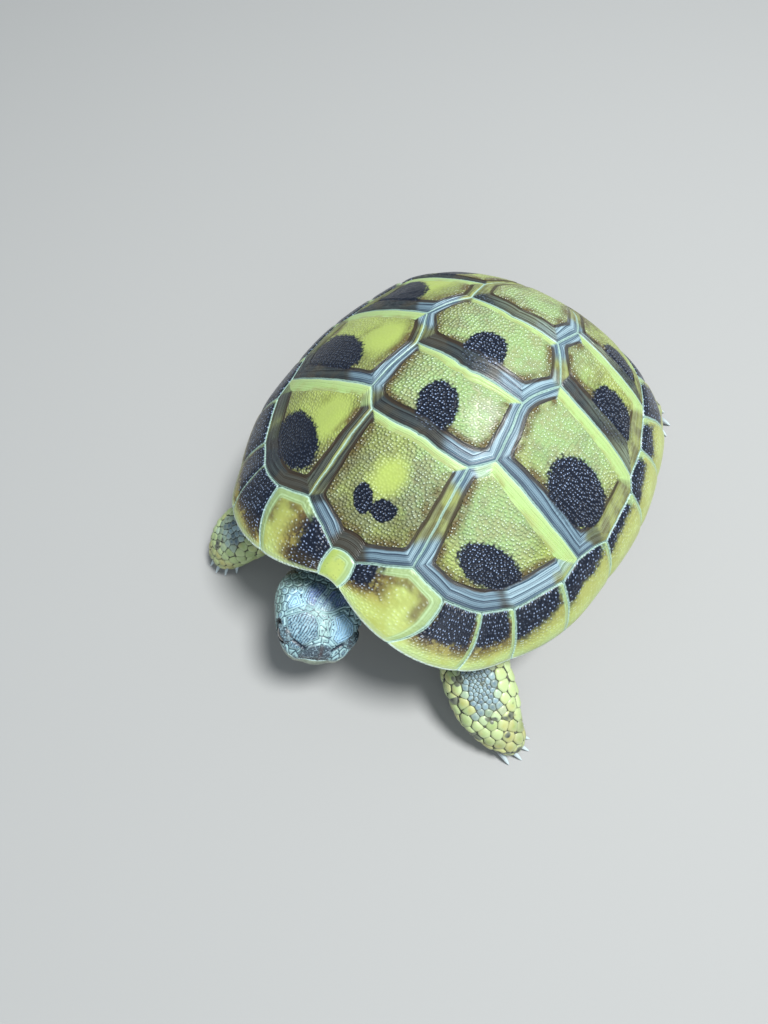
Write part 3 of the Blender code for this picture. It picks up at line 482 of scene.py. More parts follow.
def make_plate(name, material, corners, surface, kind, side=1.0, spots=(), lights=(),
               relief=RELIEF_TOP, edge=RELIEF_EDGE, spacing=0.28, rings=20, inner_rings=24,
               skirt=0.7, shrink=1.0):
    """One plate: growth rings round a raised middle, its edge let into the seam."""
    corners = np.array(corners, float)
    centre = corners.mean(0)
    widths, facing, taper = growth_widths(corners, surface, centre, kind, side)
    outer, number, along = outline_walk(corners, surface, spacing)
    old = moved_corners(corners, widths * shrink, taper)
    follow = mix(old[number], np.roll(old, -1, axis=0)[number], along[:, None])
    follow = blur_round(follow, 5)
    middle = follow.mean(0)
    count = len(outer)
    facing = {key: blur_round(facing[key][number], 3) for key in ("front", "rear")}
    # rows from the skirt and the outline over the growth to the middle; q is 1 where
    # the old plate starts
    grow = np.linspace(0.0, 1.0, rings)[1:]
    rest = np.linspace(0.0, 1.0, inner_rings + 1)[1:-1]
    flat_rows = np.stack([outer, outer] + [mix(outer, follow, g) for g in grow]
                         + [mix(follow, middle, r) for r in rest])
    q = np.concatenate(((0.0, 0.0), grow, 1.0 + rest))[:, None] * np.ones(count)
    zero = np.zeros(count)
    width_mm = np.linalg.norm(surface(follow, zero) - surface(outer, zero), axis=1)
    half_mm = np.linalg.norm(surface(follow, zero) - surface(middle, np.array(0.0)), axis=1)
    seam = np.minimum(q, 1.0) * width_mm
    ring = (q - 1.0) * np.where(q < 1.0, width_mm, half_mm)
    lift = plate_lift(seam, ring, np.minimum(q, 1.0), facing["rear"], edge, relief)
    place = waver if surface is dome else np.asarray
    points = surface(place(flat_rows), lift)
    tip = surface(place(middle[None]), np.full(1, relief + 0.01))
    here, across, back, up = tangent_frame(surface, centre)
    points[0] -= up * skirt
    all_points = np.concatenate((points.reshape(-1, 3), tip))
    flat = np.stack(((all_points - here) @ across, (all_points - here) @ back), -1)
    flat[:count] += (flat[:count] - flat[:count].mean(0)) * 0.05
    total = len(all_points) - 1
    last = np.arange(count) + total - count
    fan = np.stack((last, np.roll(last, -1), np.full(count, total)), -1)
    frame = (surface, across, back)
    values = {
        "seam": np.append(seam.reshape(-1), 5.0), "ring": np.append(ring.reshape(-1), 5.0),
        "blotch": blob(all_points, frame, spots), "light": blob(all_points, frame, lights),
        "plane": np.pad(flat, ((0, 0), (0, 1))),
    }
    for key, value in facing.items():
        values[key] = np.append((value * np.ones_like(q)).reshape(-1), 0.0)
    if surface is dome:
        values.update(zone_shares(np.concatenate((flat_rows.reshape(-1, 2), middle[None]))))
    piece = make_mesh(name, all_points, [grid_faces(len(flat_rows), count), fan], values,
                      fit_uv(flat), material)
    face_up(piece, up)
    return piece


def polygon_data(mesh, key, width):
    """One kind of number of all the faces of a mesh."""
    values = np.empty(len(mesh.polygons) * width, np.float32)
    mesh.polygons.foreach_get(key, values)
    return values.reshape(-1, width)


def face_up(piece, direction):
    """Turns a piece's faces to the outside if they came out reversed."""
    mesh = piece.data
    facing = polygon_data(mesh, "normal", 3) @ np.asarray(direction)
    if (facing * polygon_data(mesh, "area", 1)[:, 0]).sum() < 0:
        mesh.flip_normals()


def face_up_from(piece, centre):
    """Turns a closed piece's faces away from a point inside it."""
    mesh = piece.data
    away = polygon_data(mesh, "center", 3) - ((np.asarray(centre) + SHIFT) * MM)
    facing = (polygon_data(mesh, "normal", 3) * away).sum(1)
    if (facing * polygon_data(mesh, "area", 1)[:, 0]).sum() < 0:
        mesh.flip_normals()


def mirrored(corners, side):
    """The same outline for the left (1) or right (-1) side."""
    return [(x * side, y) for x, y in corners]


def make_carapace(horn):
    """The thirteen large plates of the shell's upper side."""
    made = []
    for number, keys in VERTEBRALS.items():
        left = [SEAMS[k] for k in keys]
        outline = left + [(-x, y) for x, y in reversed(left) if x > 0.0]
        name = f"vertebral_{number}"
        piece = make_plate(f"plate_{name}", horn, outline, dome, "vertebral",
                           spots=BLOTCHES.get(name, ()), lights=LIGHTS.get(name, ()),
                           shrink=0.7 if number == 5 else 1.0)
        made.append((piece, name))
    for side, word in ((1, "left"), (-1, "right")):
        for number, keys in COSTALS.items():
            name = f"costal_{word}_{number}"
            piece = make_plate(f"plate_{name}", horn, mirrored([SEAMS[k] for k in keys], side),
                               dome, "costal", side, BLOTCHES.get(name, ()),
                               LIGHTS.get(name, ()), shrink=0.75 if number == 4 else 1.0)
            made.append((piece, name))
    for piece, node in made:
        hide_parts(node)


# ---------------------------------------------------------------- marginals
def bridge_share(angle):
    """1 where the bridge joins the shell's sides, 0 at the openings."""
    a, b, c, d = BRIDGE_ANGLES
    degrees = np.degrees(angle)
    return smooth(a, b, degrees) * (1.0 - smooth(c, d, degrees))


def ledge(angle):
    """Inner edge of the rim's underside."""
    share = bridge_share(angle)
    rim = rim_polar(angle)
    out = rim[..., 0] - mix(LEDGE_OPEN, LEDGE_BRIDGE, share)
    low = mix(rim[..., 1] - LEDGE_DROP - LEDGE_THICK, BRIDGE_Z, share)
    return np.stack((out * np.sin(angle), AXIS_Y - out * np.cos(angle), low), -1)


def along_path(path, share):
    """Points at shares of the length of a bent line."""
    path = np.array(path, float)
    lengths = np.linalg.norm(np.diff(path, axis=0), axis=1)
    marks = np.concatenate(([0.0], np.cumsum(lengths))) / lengths.sum()
    return np.stack([np.interp(share, marks, path[:, i]) for i in (0, 1)], -1)


def rim_lift(seam, ring, v):
    """A rim plate's height over the solid, from its inner seam (v = 0) to the rim."""
    wave = 0.02 * np.cos(seam * 2 * math.pi / RIM_RING_APART) * smooth(0.10, 0.25, seam)
    wave = wave * (1.0 - smooth(-0.2, 0.05, ring))
    rise = smooth(0.0, 0.22, seam) * 0.5 + 0.5 * smooth(-0.9, 0.1, ring)
    lift = mix(RELIEF_EDGE, RELIEF_TOP * 0.75, rise) + wave
    lift = lift * (1.0 - smooth(0.85, 1.0, v)) - 0.02 * smooth(0.9, 1.0, v)
    return lift - 0.03 * np.exp(-((v - 0.88) / 0.05) ** 2)


def under_rim(edge, rim_disc, inner, angle, rows):
    """Rows from the plate's outer edge round the rim to the ledge, and up behind it."""
    lip = dome_raw(rim_disc) + np.array((0.0, 0.0, -LEDGE_THICK * 0.8))
    under = ledge(mix(angle, np.arctan2(inner[:, 0], -inner[:, 1]), 0.35))
    w = np.linspace(0.0, 1.0, rows + 1)[1:, None, None]
    low = edge * (1 - w) ** 2 + lip * 2 * w * (1 - w) + under * w**2
    return np.concatenate((low, (under + np.array((0.0, 0.0, 0.5)))[None]))


def make_marginal(node, horn, path, angle_a, angle_b, side, patch, bows, both=False):
    """A rim plate: over the top, round the rim and along the underside.  both is for
    the nuchal plate, which lies across the middle."""
    top_rows, under_rows = 26, 16
    length = float(np.linalg.norm(dome_raw(np.array((math.sin(angle_a), -math.cos(angle_a))))
                                  - dome_raw(np.array((math.sin(angle_b), -math.cos(angle_b))))))
    columns = max(10, int(length / RIM_COLUMN) * (2 if both else 1))
    u = np.linspace(0.0, 1.0, columns)
    if both:
        sign = np.where(u < 0.5, -1.0, 1.0)
        fold = np.abs(u * 2.0 - 1.0)
        inner = np.stack((path[0][0] * fold, np.full(columns, path[0][1])), -1)
        angle = angle_b * fold
        length *= 2.0
    else:
        sign = np.full(columns, float(side))
        inner = along_path(path, u)
        angle = mix(angle_a, angle_b, u)
    rim_disc = np.stack((np.sin(angle), -np.cos(angle)), -1)
    v = np.linspace(0.0, 1.0, top_rows)[:, None]
    p = inner[None] + (rim_disc - inner)[None] * v[..., None]
    bow = mix(bows[0], bows[1], np.abs(u * 2.0 - 1.0) if both else u) / DISC_MM
    tangent = np.stack((np.cos(angle), np.sin(angle)), -1)
    p = p + tangent[None] * (bow[None] * np.sin(v * math.pi))[..., None]
    if not both:
        notch = RIM_NOTCH / DISC_MM * (1.0 - np.sin(math.pi * u) ** 0.5)[None] * v**6
        p = p * (1.0 - notch)[..., None]
    across_mm = length * 0.9
    depth_mm = float(np.linalg.norm(dome_raw(inner) - dome_raw(rim_disc), axis=1).mean())
    start_mm, end_mm = u[None] * across_mm, (1.0 - u)[None] * across_mm
    seam = np.minimum(np.minimum(start_mm, end_mm), v * depth_mm)
    d0, d1, u0, u1, burn = patch
    patch_mm = np.minimum(np.minimum((mix(d0, d1, u)[None] - v) * depth_mm,
                                     (u1 - u)[None] * across_mm), (u - u0)[None] * across_mm)
    front, rear, side_in = RIM_GROWTH
    ring = np.minimum(np.minimum(start_mm - front, end_mm - rear), v * depth_mm - side_in)
    mirror = np.stack((sign, np.ones(columns)), -1)
    top = dome(waver(p * mirror) * mirror, rim_lift(seam, ring, v))
    skirt = top[:1] - dome_normal(p[:1]) * 0.6
    rows = np.concatenate((skirt, top, under_rim(top[-1], rim_disc, inner, angle, under_rows)))
    rows[..., 0] *= sign
    extra = under_rows + 1
    below = 1.0 + np.arange(1, extra + 1)[:, None] / under_rows * 0.6
    v_all = np.concatenate((np.full((1, 1), -0.05), v, below)) * np.ones(columns)
    side_seam = np.minimum(start_mm, end_mm)
    total = rows.shape[0]

    def whole(value, last):
        """A value of the top's rows, carried on over the skirt and the underside."""
        return np.concatenate((value[:1], value, np.repeat(last, extra, 0))).reshape(-1)

    u_all = np.ones((total, 1)) * u
    values = {
        "seam": whole(seam, side_seam), "patch": whole(patch_mm, patch_mm[-1:]),
        "ring": whole(ring, ring[-1:]), "burn": np.full(u_all.size, burn),
        "u": u_all.reshape(-1), "v": v_all.reshape(-1),
    }
    flat = np.stack((u_all * across_mm, v_all * depth_mm), -1).reshape(-1, 2)
    values["plane"] = np.pad(flat, ((0, 0), (0, 1)))
    points = rows.reshape(-1, 3)
    piece = make_mesh(f"plate_{node}", points, grid_faces(total, columns, wrap=False),
                      values, fit_uv(flat), horn)
    centre = points.mean(0)
    face_up(piece, unit(np.array((centre[0], centre[1] - AXIS_Y, 4.0))))
    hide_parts(node)


def make_rim(rim_horn, front_horn):
    """The plates round the rim and the nuchal plate in front."""
    for side, word in ((1, "left"), (-1, "right")):
        for number, (inner, front, rear) in MARGINALS.items():
            node = f"marginal_{word}_{number}" if number < 12 else f"supracaudal_{word}"
            make_marginal(node, rim_horn, [SEAMS[k] for k in inner], rim_angle(front),
                          rim_angle(rear), side, RIM_PATCHES[word][number - 1],
                          (RIM_BOWS[number - 1], RIM_BOWS[number]))
    make_marginal("nuchal", front_horn, [SEAMS["v1_nuchal"]], 0.0, rim_angle("nuchal_1"), 1,
                  (-1.0, -1.0, 0.0, 1.0, 0.0), (0.0, RIM_BOWS[0]), both=True)


# ---------------------------------------------------------------- plastron
def plastron(p, lift):
    """A place on the underside, lifted outwards in mm."""
    x, y = p[..., 0], p[..., 1]
    out = np.maximum(np.abs(x) - PLASTRON_FLAT, 0.0) / (PLASTRON_EDGE - PLASTRON_FLAT)
    z = PLASTRON_Z + PLASTRON_RISE * out**2
    z = z + LOBE_RISE * (np.maximum(LOBE_FRONT_Y - y, 0.0) / 6.0) ** 2
    return np.stack((x, y, z - lift), -1)


def make_plastron(belly):
    """The twelve plates of the underside."""
    for side, word in ((1, "left"), (-1, "right")):
        for name, corners in PLASTRON.items():
            piece = make_plate(f"plate_{name}_{word}", belly, mirrored(corners, side),
                               plastron, "belly", side, relief=-0.02, edge=-0.14,
                               spacing=0.45, rings=8, inner_rings=8, skirt=0.0)
            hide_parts(f"{name}_{word}")


# ---------------------------------------------------------------- flesh
COAT = 0.24                    # how far the bare skin lies under the coat's tips
SKIN_VOXEL = 0.30              # mm, grain of the skin's mesh
SKIN_FLOOR, SCALE_FLOOR = 0.04, 0.02   # mm, the least height over the ground
HEAD_AT = np.array((-0.14, -25.61, 11.4))
HEAD_YAW, HEAD_PITCH, HEAD_ROLL = 36.0, 1.5, 17.0
HEAD_SECTIONS = (   # t, half width, top, bottom
    (-6.0, 3.60, 2.6, -3.5), (-4.6, 4.65, 3.2, -3.7), (-2.8, 5.10, 3.55, -3.75),
    (-0.9, 4.95, 3.55, -3.6), (0.7, 4.55, 3.2, -3.4), (1.9, 4.10, 2.6, -3.2),
    (2.9, 3.55, 1.9, -2.95), (3.55, 2.75, 1.1, -2.6), (3.9, 1.80, 0.3, -2.3),
)
HEAD_SQUARE, JAW_TAPER, MOUTH_Z = 2.5, 0.10, -1.15
SNOUT_REACH = 0.33             # mm, how far the snout bulges in front of its last section
SHIELD_HIGH, SMALL_HIGH, BEAK_HIGH = 0.15, 0.11, 0.13      # mm of relief
HEAD_RING = 0.20               # mm between the rings inside a shield's edge
SMALL_ACROSS, SMALL_ALONG = 0.96, 0.86     # mm between the head's small scales
NOSTRIL_OUT, NOSTRIL_UP = 0.50, 0.42       # mm in the head's axes
SOCKET_LONG, SOCKET_HIGH, SOCKET_DEEP = 1.32, 1.02, 1.5    # mm
GROOVE_DEEP, MOUTH_DEEP, LIP_OVER, NOSTRIL_DEEP = 0.20, 0.42, 0.14, 0.45   # mm
BROW = (1.1, 0.42, 2.2)        # place, rise and length of the brow's bulge
BROW_GROOVE = ((2.95, 1.55), (2.05, 3.05), (1.1, 4.15), (0.0, 4.55))   # (forward, out)
EYE_AT, EYE_RADIUS = (1.1, 3.15, 0.95), 1.35
NECK_PATH = (   # place, half width, half height
    ((0.4, -10.0, 12.4), 4.0, 3.9), ((-1.9, -13.4, 12.2), 3.8, 3.7),
    ((-3.9, -16.4, 12.0), 3.65, 3.5), ((-4.7, -18.3, 11.8), 3.45, 3.2),
)
# The body inside the shell: shares of the disc and room below the dome, then for each
# level the room at the openings and the bridge and its share of the height
TRUNK_SHARES, TRUNK_CLEAR = (0.30, 0.52), 1.65
TRUNK_LEVELS = ((2.6, 1.6, 0.80), (4.2, 0.9, 0.45), (5.0, 1.6, 0.12))
TRUNK_LOW_OPEN, TRUNK_LOW_BRIDGE, TRUNK_HIGH_OPEN, TRUNK_HIGH_BRIDGE = 1.2, 1.0, 1.2, 9.0
TRUNK_FLOOR, TRUNK_FLOOR_CLEAR = (11.0, 14.5, 1.0), 0.75
LIMBS = {
    "leg_front_left": {
        "wide": (0.44, 0.87, 0.22),
        "path": (
            ((8.4, -10.6, 10.6), 3.4, 2.8), ((13.2, -15.2, 9.4), 3.8, 2.8),
            ((17.0, -18.4, 7.6), 4.1, 2.9), ((20.0, -20.1, 5.3), 3.9, 2.7),
            ((22.4, -20.9, 3.3), 3.0, 2.4), ((24.3, -21.1, 1.8), 2.1, 2.0),
            ((25.1, -21.1, 1.1), 1.3, 1.3),
        ),
        "claws": 5, "toe": (24.6, -21.0, 1.1), "heading": (0.97, 0.18, -0.30),
        "spread": 3.0, "claw": 2.5,
    },
    "leg_front_right": {
        "wide": (-0.80, 0.52, 0.28),
        "path": (
            ((-8.4, -10.6, 10.6), 3.4, 2.8), ((-12.4, -15.0, 9.4), 3.7, 2.8),
            ((-15.6, -19.2, 7.6), 3.9, 2.8), ((-17.6, -21.7, 5.2), 3.6, 2.7),
            ((-18.5, -23.1, 3.1), 3.0, 2.4), ((-18.9, -24.1, 1.7), 2.2, 2.0),
            ((-19.0, -24.6, 1.1), 1.4, 1.3),
        ),
        "claws": 5, "toe": (-19.0, -24.2, 1.1), "heading": (0.05, -0.97, -0.34),
        "spread": 3.0, "claw": 2.2,
    },
    "leg_hind_left": {
        "wide": (-0.35, 0.93, 0.10),
        "path": (
            ((8.2, 12.6, 10.2), 3.4, 3.0), ((12.6, 18.4, 7.6), 3.3, 2.5),
            ((14.4, 22.6, 5.8), 3.2, 2.6), ((15.2, 26.0, 4.1), 3.0, 2.7),
            ((15.7, 28.4, 2.6), 2.8, 2.5), ((16.3, 29.7, 1.5), 2.6, 2.2),
            ((16.8, 29.9, 1.0), 2.3, 1.9),
        ),
        "claws": 4, "toe": (17.7, 29.9, 1.0), "heading": (0.96, 0.20, -0.28),
        "spread": 3.7, "claw": 2.6,
    },
    "leg_hind_right": {
        "wide": (-0.93, 0.30, 0.20),
        "path": (
            ((-8.2, 12.0, 10.2), 3.4, 3.0), ((-13.0, 15.4, 8.4), 3.4, 2.9),
            ((-16.4, 17.5, 6.4), 3.4, 3.0), ((-18.0, 18.0, 4.4), 3.1, 2.9),
            ((-18.9, 17.0, 2.6), 2.9, 2.6), ((-19.5, 15.4, 1.5), 2.5, 1.9),
            ((-19.7, 14.7, 1.1), 1.8, 1.3),
        ),
        "claws": 4, "toe": (-19.6, 15.2, 1.0), "heading": (-0.30, -0.92, -0.28),
        "spread": 3.8, "claw": 2.2,
    },
}
# The skin's hem over the underside's plates: half of its outline, then for each ring
# the share of that outline and the height over the plates
HEM_OUTLINE = [(0.0, -20.2), (2.9, -20.2), (5.2, -19.2), (8.8, -16.9), (11.7, -13.2),
               (13.0, -10.6), (15.6, -6.0), (15.8, 0.0), (15.6, 7.0), (13.2, 11.0),
               (13.0, 14.6), (10.4, 18.8), (6.8, 21.6), (3.4, 21.8), (0.0, 21.0)]
HEM = ((0.86, 0.08), (0.92, 0.40), (0.92, 1.20), (0.84, 2.60))
FOLD_HIGH, FOLD_APART, FOLD_REACH = 0.26, 1.3, 5.0      # mm, folds round each limb's root
FOLD_FLOOR = 6.0               # mm, no folds below this
NECK_COAT_Y = -18.0            # the neck's own scales start in front of this
CLAW_ROOT, CLAW_Z = 0.6, 1.15  # mm, how far a claw starts inside the foot, how high
CLAW_FAN = 24.0                # degrees the outer claws turn away from the foot's way
CLAW_RADIUS, CLAW_TIP, CLAW_BEND = 0.44, 0.035, 0.95   # mm
TAIL_PATH = (   # place, half width, half height
    ((0.0, 14.0, 9.6), 2.5, 2.4), ((0.2, 20.5, 7.7), 2.0, 1.8), ((0.5, 23.8, 5.9), 1.4, 1.3),
    ((0.9, 26.4, 4.6), 0.95, 0.9), ((1.3, 28.4, 3.8), 0.45, 0.45),
)


def spline(rows, steps):
    """Rows of numbers smoothly filled in by a Catmull-Rom curve."""
    rows = np.asarray(rows, float)
    k = np.repeat(np.arange(len(rows) - 1), steps)
    u = np.tile(np.arange(steps) / steps, len(rows) - 1)[:, None]
    a, b = rows[np.maximum(k - 1, 0)], rows[k]
    c, d = rows[k + 1], rows[np.minimum(k + 2, len(rows) - 1)]
    filled = 0.5 * (2 * b + (c - a) * u + (2 * a - 5 * b + 4 * c - d) * u * u
                    + (3 * b - a - 3 * c + d) * u**3)
    return np.vstack((filled, rows[-1:]))


def rounded(angle, square):
    """A circle squared off: 2 is round, more is squarer."""
    c, s = np.cos(angle), np.sin(angle)
    size = (np.abs(c) ** square + np.abs(s) ** square) ** (-1.0 / square)
    return c * size, s * size


def path_rows(path, steps):
    """A path's places and sizes as rows of five numbers, smoothly filled in."""
    return spline([[*place, *size] for place, *size in path], steps)


def tube_rings(path, wide, steps, count, shrink, square=2.3, last=None):
    """Rounded sections across a smooth path; wide is the way they are broad in, and
    last the sideways and upward directions the path ends with."""
    rows = path_rows(path, steps)
    coarse = path_rows(path, 2)[:, :3]
    places = rows[:, :3]
    pick = np.arange(len(rows)) / steps * 2
    low = np.clip(np.floor(pick).astype(int) - 1, 0, len(coarse) - 1)
    high = np.clip(np.ceil(pick).astype(int) + 1, 0, len(coarse) - 1)
    ahead = unit(blur_rows(unit(coarse[high] - coarse[low]), 2))
    across = unit(np.asarray(wide, float) - ahead * (ahead @ np.asarray(wide, float))[:, None])
    up = np.cross(ahead, across)
    if last is not None:
        share = smooth(len(rows) - 2.5 * steps, len(rows) - steps, np.arange(len(rows)))[:, None]
        across = unit(mix(across, last[0], share))
        up = unit(mix(up, last[1], share))
    angle = circle(count, 0.5)
    c, s = rounded(angle, square)
    broad, deep = rows[:, 3] - shrink, rows[:, 4] - shrink
    return (places[:, None] + across[:, None] * (broad[:, None] * c)[..., None]
            + up[:, None] * (deep[:, None] * s)[..., None])


def blur_rows(values, times):
    """Averages each row with its neighbours, keeping the ends."""
    for _ in range(times):
        inner = 0.25 * values[:-2] + 0.5 * values[1:-1] + 0.25 * values[2:]
        values = np.vstack((values[:1], inner, values[-1:]))
    return values


def closed_tube(rings):
    """Points and faces of rings with a rounded cap at each end."""
    count = rings.shape[1]
    points = rings.reshape(-1, 3)
    ends = np.stack((rings[0].mean(0), rings[-1].mean(0)))
    start = len(points)
    i = np.arange(count)
    k = (i + 1) % count
    first = np.stack((k, i, np.full(count, start)), -1)
    base = start - count
    last = np.stack((base + i, base + k, np.full(count, start + 1)), -1)
    return np.vstack((points, ends)), [grid_faces(len(rings), count), first, last]


def joined(tubes):
    """Closed tubes as one: all points, and all quads and end triangles."""
    points, quads, ends, start = [], [], [], 0
    for some, (sides, first, last) in tubes:
        points.append(some)
        quads.append(sides + start)
        ends += [first + start, last + start]
        start += len(some)
    return np.vstack(points), [np.vstack(quads), np.vstack(ends)]


def trunk_rings():
    """The body between the shell's upper and lower side."""
    count, shrink = 72, 0.1
    angle = circle(count)
    folded = np.where(angle <= math.pi, angle, 2 * math.pi - angle)
    side = np.where(angle <= math.pi, 1.0, -1.0)
    rings = []
    for share in (0.04, 0.15, *TRUNK_SHARES):
        p = np.stack((share * np.sin(angle), -share * np.cos(angle)), -1)
        rings.append(dome(p, np.full(count, -TRUNK_CLEAR - shrink)))
    inner = ledge(folded)
    share = bridge_share(folded)
    for open_room, bridge_room, level in TRUNK_LEVELS:
        reach = np.hypot(inner[:, 0], inner[:, 1] - AXIS_Y) - mix(open_room, bridge_room, share)
        low = mix(PLASTRON_Z + PLASTRON_THICK + TRUNK_LOW_OPEN,
                  BRIDGE_Z + LEDGE_THICK + TRUNK_LOW_BRIDGE, share)
        high = inner[:, 2] + mix(TRUNK_HIGH_OPEN, TRUNK_HIGH_BRIDGE, share)
        reach = reach - shrink
        rings.append(np.stack((side * reach * np.sin(folded),
                               AXIS_Y - reach * np.cos(folded), mix(low, high, level)), -1))
    wide, long, middle = TRUNK_FLOOR
    floor_z = PLASTRON_Z + PLASTRON_THICK + TRUNK_FLOOR_CLEAR + shrink
    rings.append(np.stack((wide * np.sin(angle), middle - long * np.cos(angle),
                           np.full(count, floor_z)), -1))
    return np.stack(rings)


def hem_rings():
    """Skin between the body and the underside's plates, inside their outline."""
    outline = HEM_OUTLINE + [(-x, y) for x, y in HEM_OUTLINE[-2:0:-1]] + HEM_OUTLINE[:1]
    count = 96
    around = along_path(outline, (np.arange(count) + 0.5) / count)
    middle = np.array((0.0, TRUNK_FLOOR[2]))
    rings = []
    for share, over in HEM:
        place = middle + (around - middle) * share
        rings.append(plastron(place, -PLASTRON_THICK - over))
    return np.stack(rings[::-1])


def fold_height(points):
    """Loose folds of skin round the roots of the neck, legs and tail."""
    height = np.zeros(len(points))
    for path in (NECK_PATH, TAIL_PATH, *(limb["path"] for limb in LIMBS.values())):
        far = np.full(len(points), 99.0)
        for x, y, z, broad, deep in path_rows(path, 6):
            gap = np.linalg.norm(points - (x, y, z), axis=1) - 0.5 * (broad + deep)
            far = np.minimum(far, gap)
        share = smooth(0.2, 0.8, far) * smooth(FOLD_REACH, 0.5 * FOLD_REACH, far)
        height = np.maximum(height, share * np.abs(np.sin(math.pi * far / FOLD_APART)))
    return FOLD_HIGH * height * smooth(FOLD_FLOOR, FOLD_FLOOR + 1.5, points[:, 2])


def turned(axis, degrees):
    """The matrix of a turn about one axis."""
    return np.array(Matrix.Rotation(math.radians(degrees), 3, axis))


HEAD_TURN = turned("Z", HEAD_YAW) @ turned("X", HEAD_PITCH) @ turned("Y", HEAD_ROLL)
HEAD_FORWARD, HEAD_LEFT = HEAD_TURN @ (0, -1, 0), HEAD_TURN @ (1, 0, 0)
HEAD_UP = HEAD_TURN @ (0, 0, 1)


def from_head(p):
    """Places given as (forward, left, up) in the head's own axes."""
    p = np.asarray(p, float)
    return HEAD_AT + p[..., :1] * HEAD_FORWARD + p[..., 1:2] * HEAD_LEFT + p[..., 2:] * HEAD_UP


def head_surface(stations, count, shrink):
    """The head's form as rows of (forward, left, up), rounded off at the snout."""
    rows = spline(HEAD_SECTIONS, 12)
    mark = np.linspace(0.0, 1.0, len(rows))
    cap = np.maximum(stations - 1.0, 0.0)          # beyond 1 the snout closes
    body = np.minimum(stations, 1.0)
    t, half, top, bottom = (np.interp(body, mark, rows[:, k]) for k in range(4))
    close = np.maximum(1.0 - cap, 0.0)[:, None]
    angle = circle(count, 0.5)
    c, s = rounded(angle, HEAD_SQUARE)
    middle, deep = 0.5 * (top + bottom), 0.5 * (top - bottom) - shrink
    place, rise, length = BROW
    brow = rise * np.exp(-((t[:, None] - place) / length * 2.0) ** 2 - ((s - 0.45) / 0.4) ** 2)
    out = c * (half[:, None] - shrink) * (1.0 + JAW_TAPER * s) + np.sign(c) * brow
    out = out * close
    high = middle[:, None] + s * deep[:, None] * close
    ahead = t[:, None] + (SNOUT_REACH * np.sin(np.minimum(cap, 1.0) * math.pi / 2))[:, None]
    ahead = ahead * np.ones_like(out)
    return np.stack((ahead - shrink * smooth(0.9, 1.0, stations)[:, None], out, high), -1)


def neck_rings(steps, count):
    """The neck's sections, from the trunk to the rear of the head."""
    t, half, top, bottom = HEAD_SECTIONS[0]
    meet = from_head((t - 0.3, 0.0, 0.5 * (top + bottom)))
    path = NECK_PATH + ((tuple(meet), half, 0.5 * (top - bottom)),)
    return tube_rings(path, (1.0, 0.2, 0.0), steps, count, COAT * 0.8, 2.25,
                      (HEAD_LEFT, HEAD_UP))


def tail_rings(steps, count):
    """The tail's sections."""
    return tube_rings(TAIL_PATH, (1.0, 0.0, 0.0), steps, count, COAT * 0.8)


def make_skin(material):
    """One skin over neck, limbs, tail and body, with the head's inside to hold it."""
    tubes = [neck_rings(8, 48)]
    tubes += [tube_rings(limb["path"], limb["wide"], 8, 48, COAT) for limb in LIMBS.values()]
    core = head_surface(np.linspace(0.0, 1.0, 40), 64, 0.7)
    bridge = head_surface(np.array((0.0, 0.03, 0.08)), 64, COAT)
    bridge = np.concatenate((bridge[:1] + np.array((-1.2, 0.0, 0.0)), bridge))
    tubes += [tail_rings(8, 32), trunk_rings(), hem_rings(), from_head(core), from_head(bridge)]
    points, faces = joined([closed_tube(rings) for rings in tubes])
    piece = make_mesh("skin", points, faces)
    remesh = piece.modifiers.new("remesh", "REMESH")
    remesh.mode, remesh.voxel_size = "VOXEL", SKIN_VOXEL * MM
    soften = piece.modifiers.new("soften", "SMOOTH")
    soften.factor, soften.iterations = 0.5, 3
    bpy.context.view_layer.update()
    done = piece.evaluated_get(bpy.context.evaluated_depsgraph_get())
    mesh = bpy.data.meshes.new_from_object(done)
    piece.modifiers.clear()
    old, piece.data = piece.data, mesh
    bpy.data.meshes.remove(old)
    place = np.empty(len(mesh.vertices) * 3, np.float32)
    mesh.vertices.foreach_get("co", place)
    place = place.reshape(-1, 3)
    normal = np.empty(place.size, np.float32)
    mesh.vertices.foreach_get("normal", normal)
    folds = fold_height(place / MM - SHIFT).astype(np.float32)
    place = place + normal.reshape(-1, 3) * folds[:, None] * MM
    place[:, 2] = np.maximum(place[:, 2], SKIN_FLOOR * MM)
    mesh.vertices.foreach_set("co", place.reshape(-1))
    mesh.update()
    mesh.shade_smooth()
    mesh.materials.clear()
    mesh.materials.append(material)
    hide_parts("trunk", "neck", "tail", *LIMBS)


# ---------------------------------------------------------------- scales
SCALE_GAP = 0.045              # mm, the groove between two scales
SCALE_LAP, SCALE_TILT = 0.12, 0.35     # how far the free edge reaches out and leans
SCALE_FORM = ((0.55, 0.88), (0.86, 0.50), (1.0, 0.02), (1.0, -0.6))    # (reach, height)
SCALE_FULL = 0.98              # the most a scale reaches, as a share of its spacing
SCALE_SQUARE = 14.0            # how sharp the corners between a scale's sides are
NEIGHBOURS = 14                # how many nearest scales limit a scale's outline
CLOSEST = 0.80                 # the least distance at first, as a share of the spacing
SPREAD, PUSH = 1.04, 0.35      # the distance aimed at, and how much of it each round moves


def tree_of(rings):
    """A tube's surface, for finding its nearest places."""
    points, faces = closed_tube(rings)
    polygons = [tuple(map(int, f)) for group in faces for f in group]
    return BVHTree.FromPolygons([Vector(p) for p in points], polygons)


def snap(tree, points):
    """Nearest places on a surface and the outward directions there."""
    places, normals = np.empty_like(points), np.empty_like(points)
    for i, p in enumerate(points):
        hit, normal, _, _ = tree.find_nearest(Vector(p))
        places[i], normals[i] = hit, normal
    return places, normals


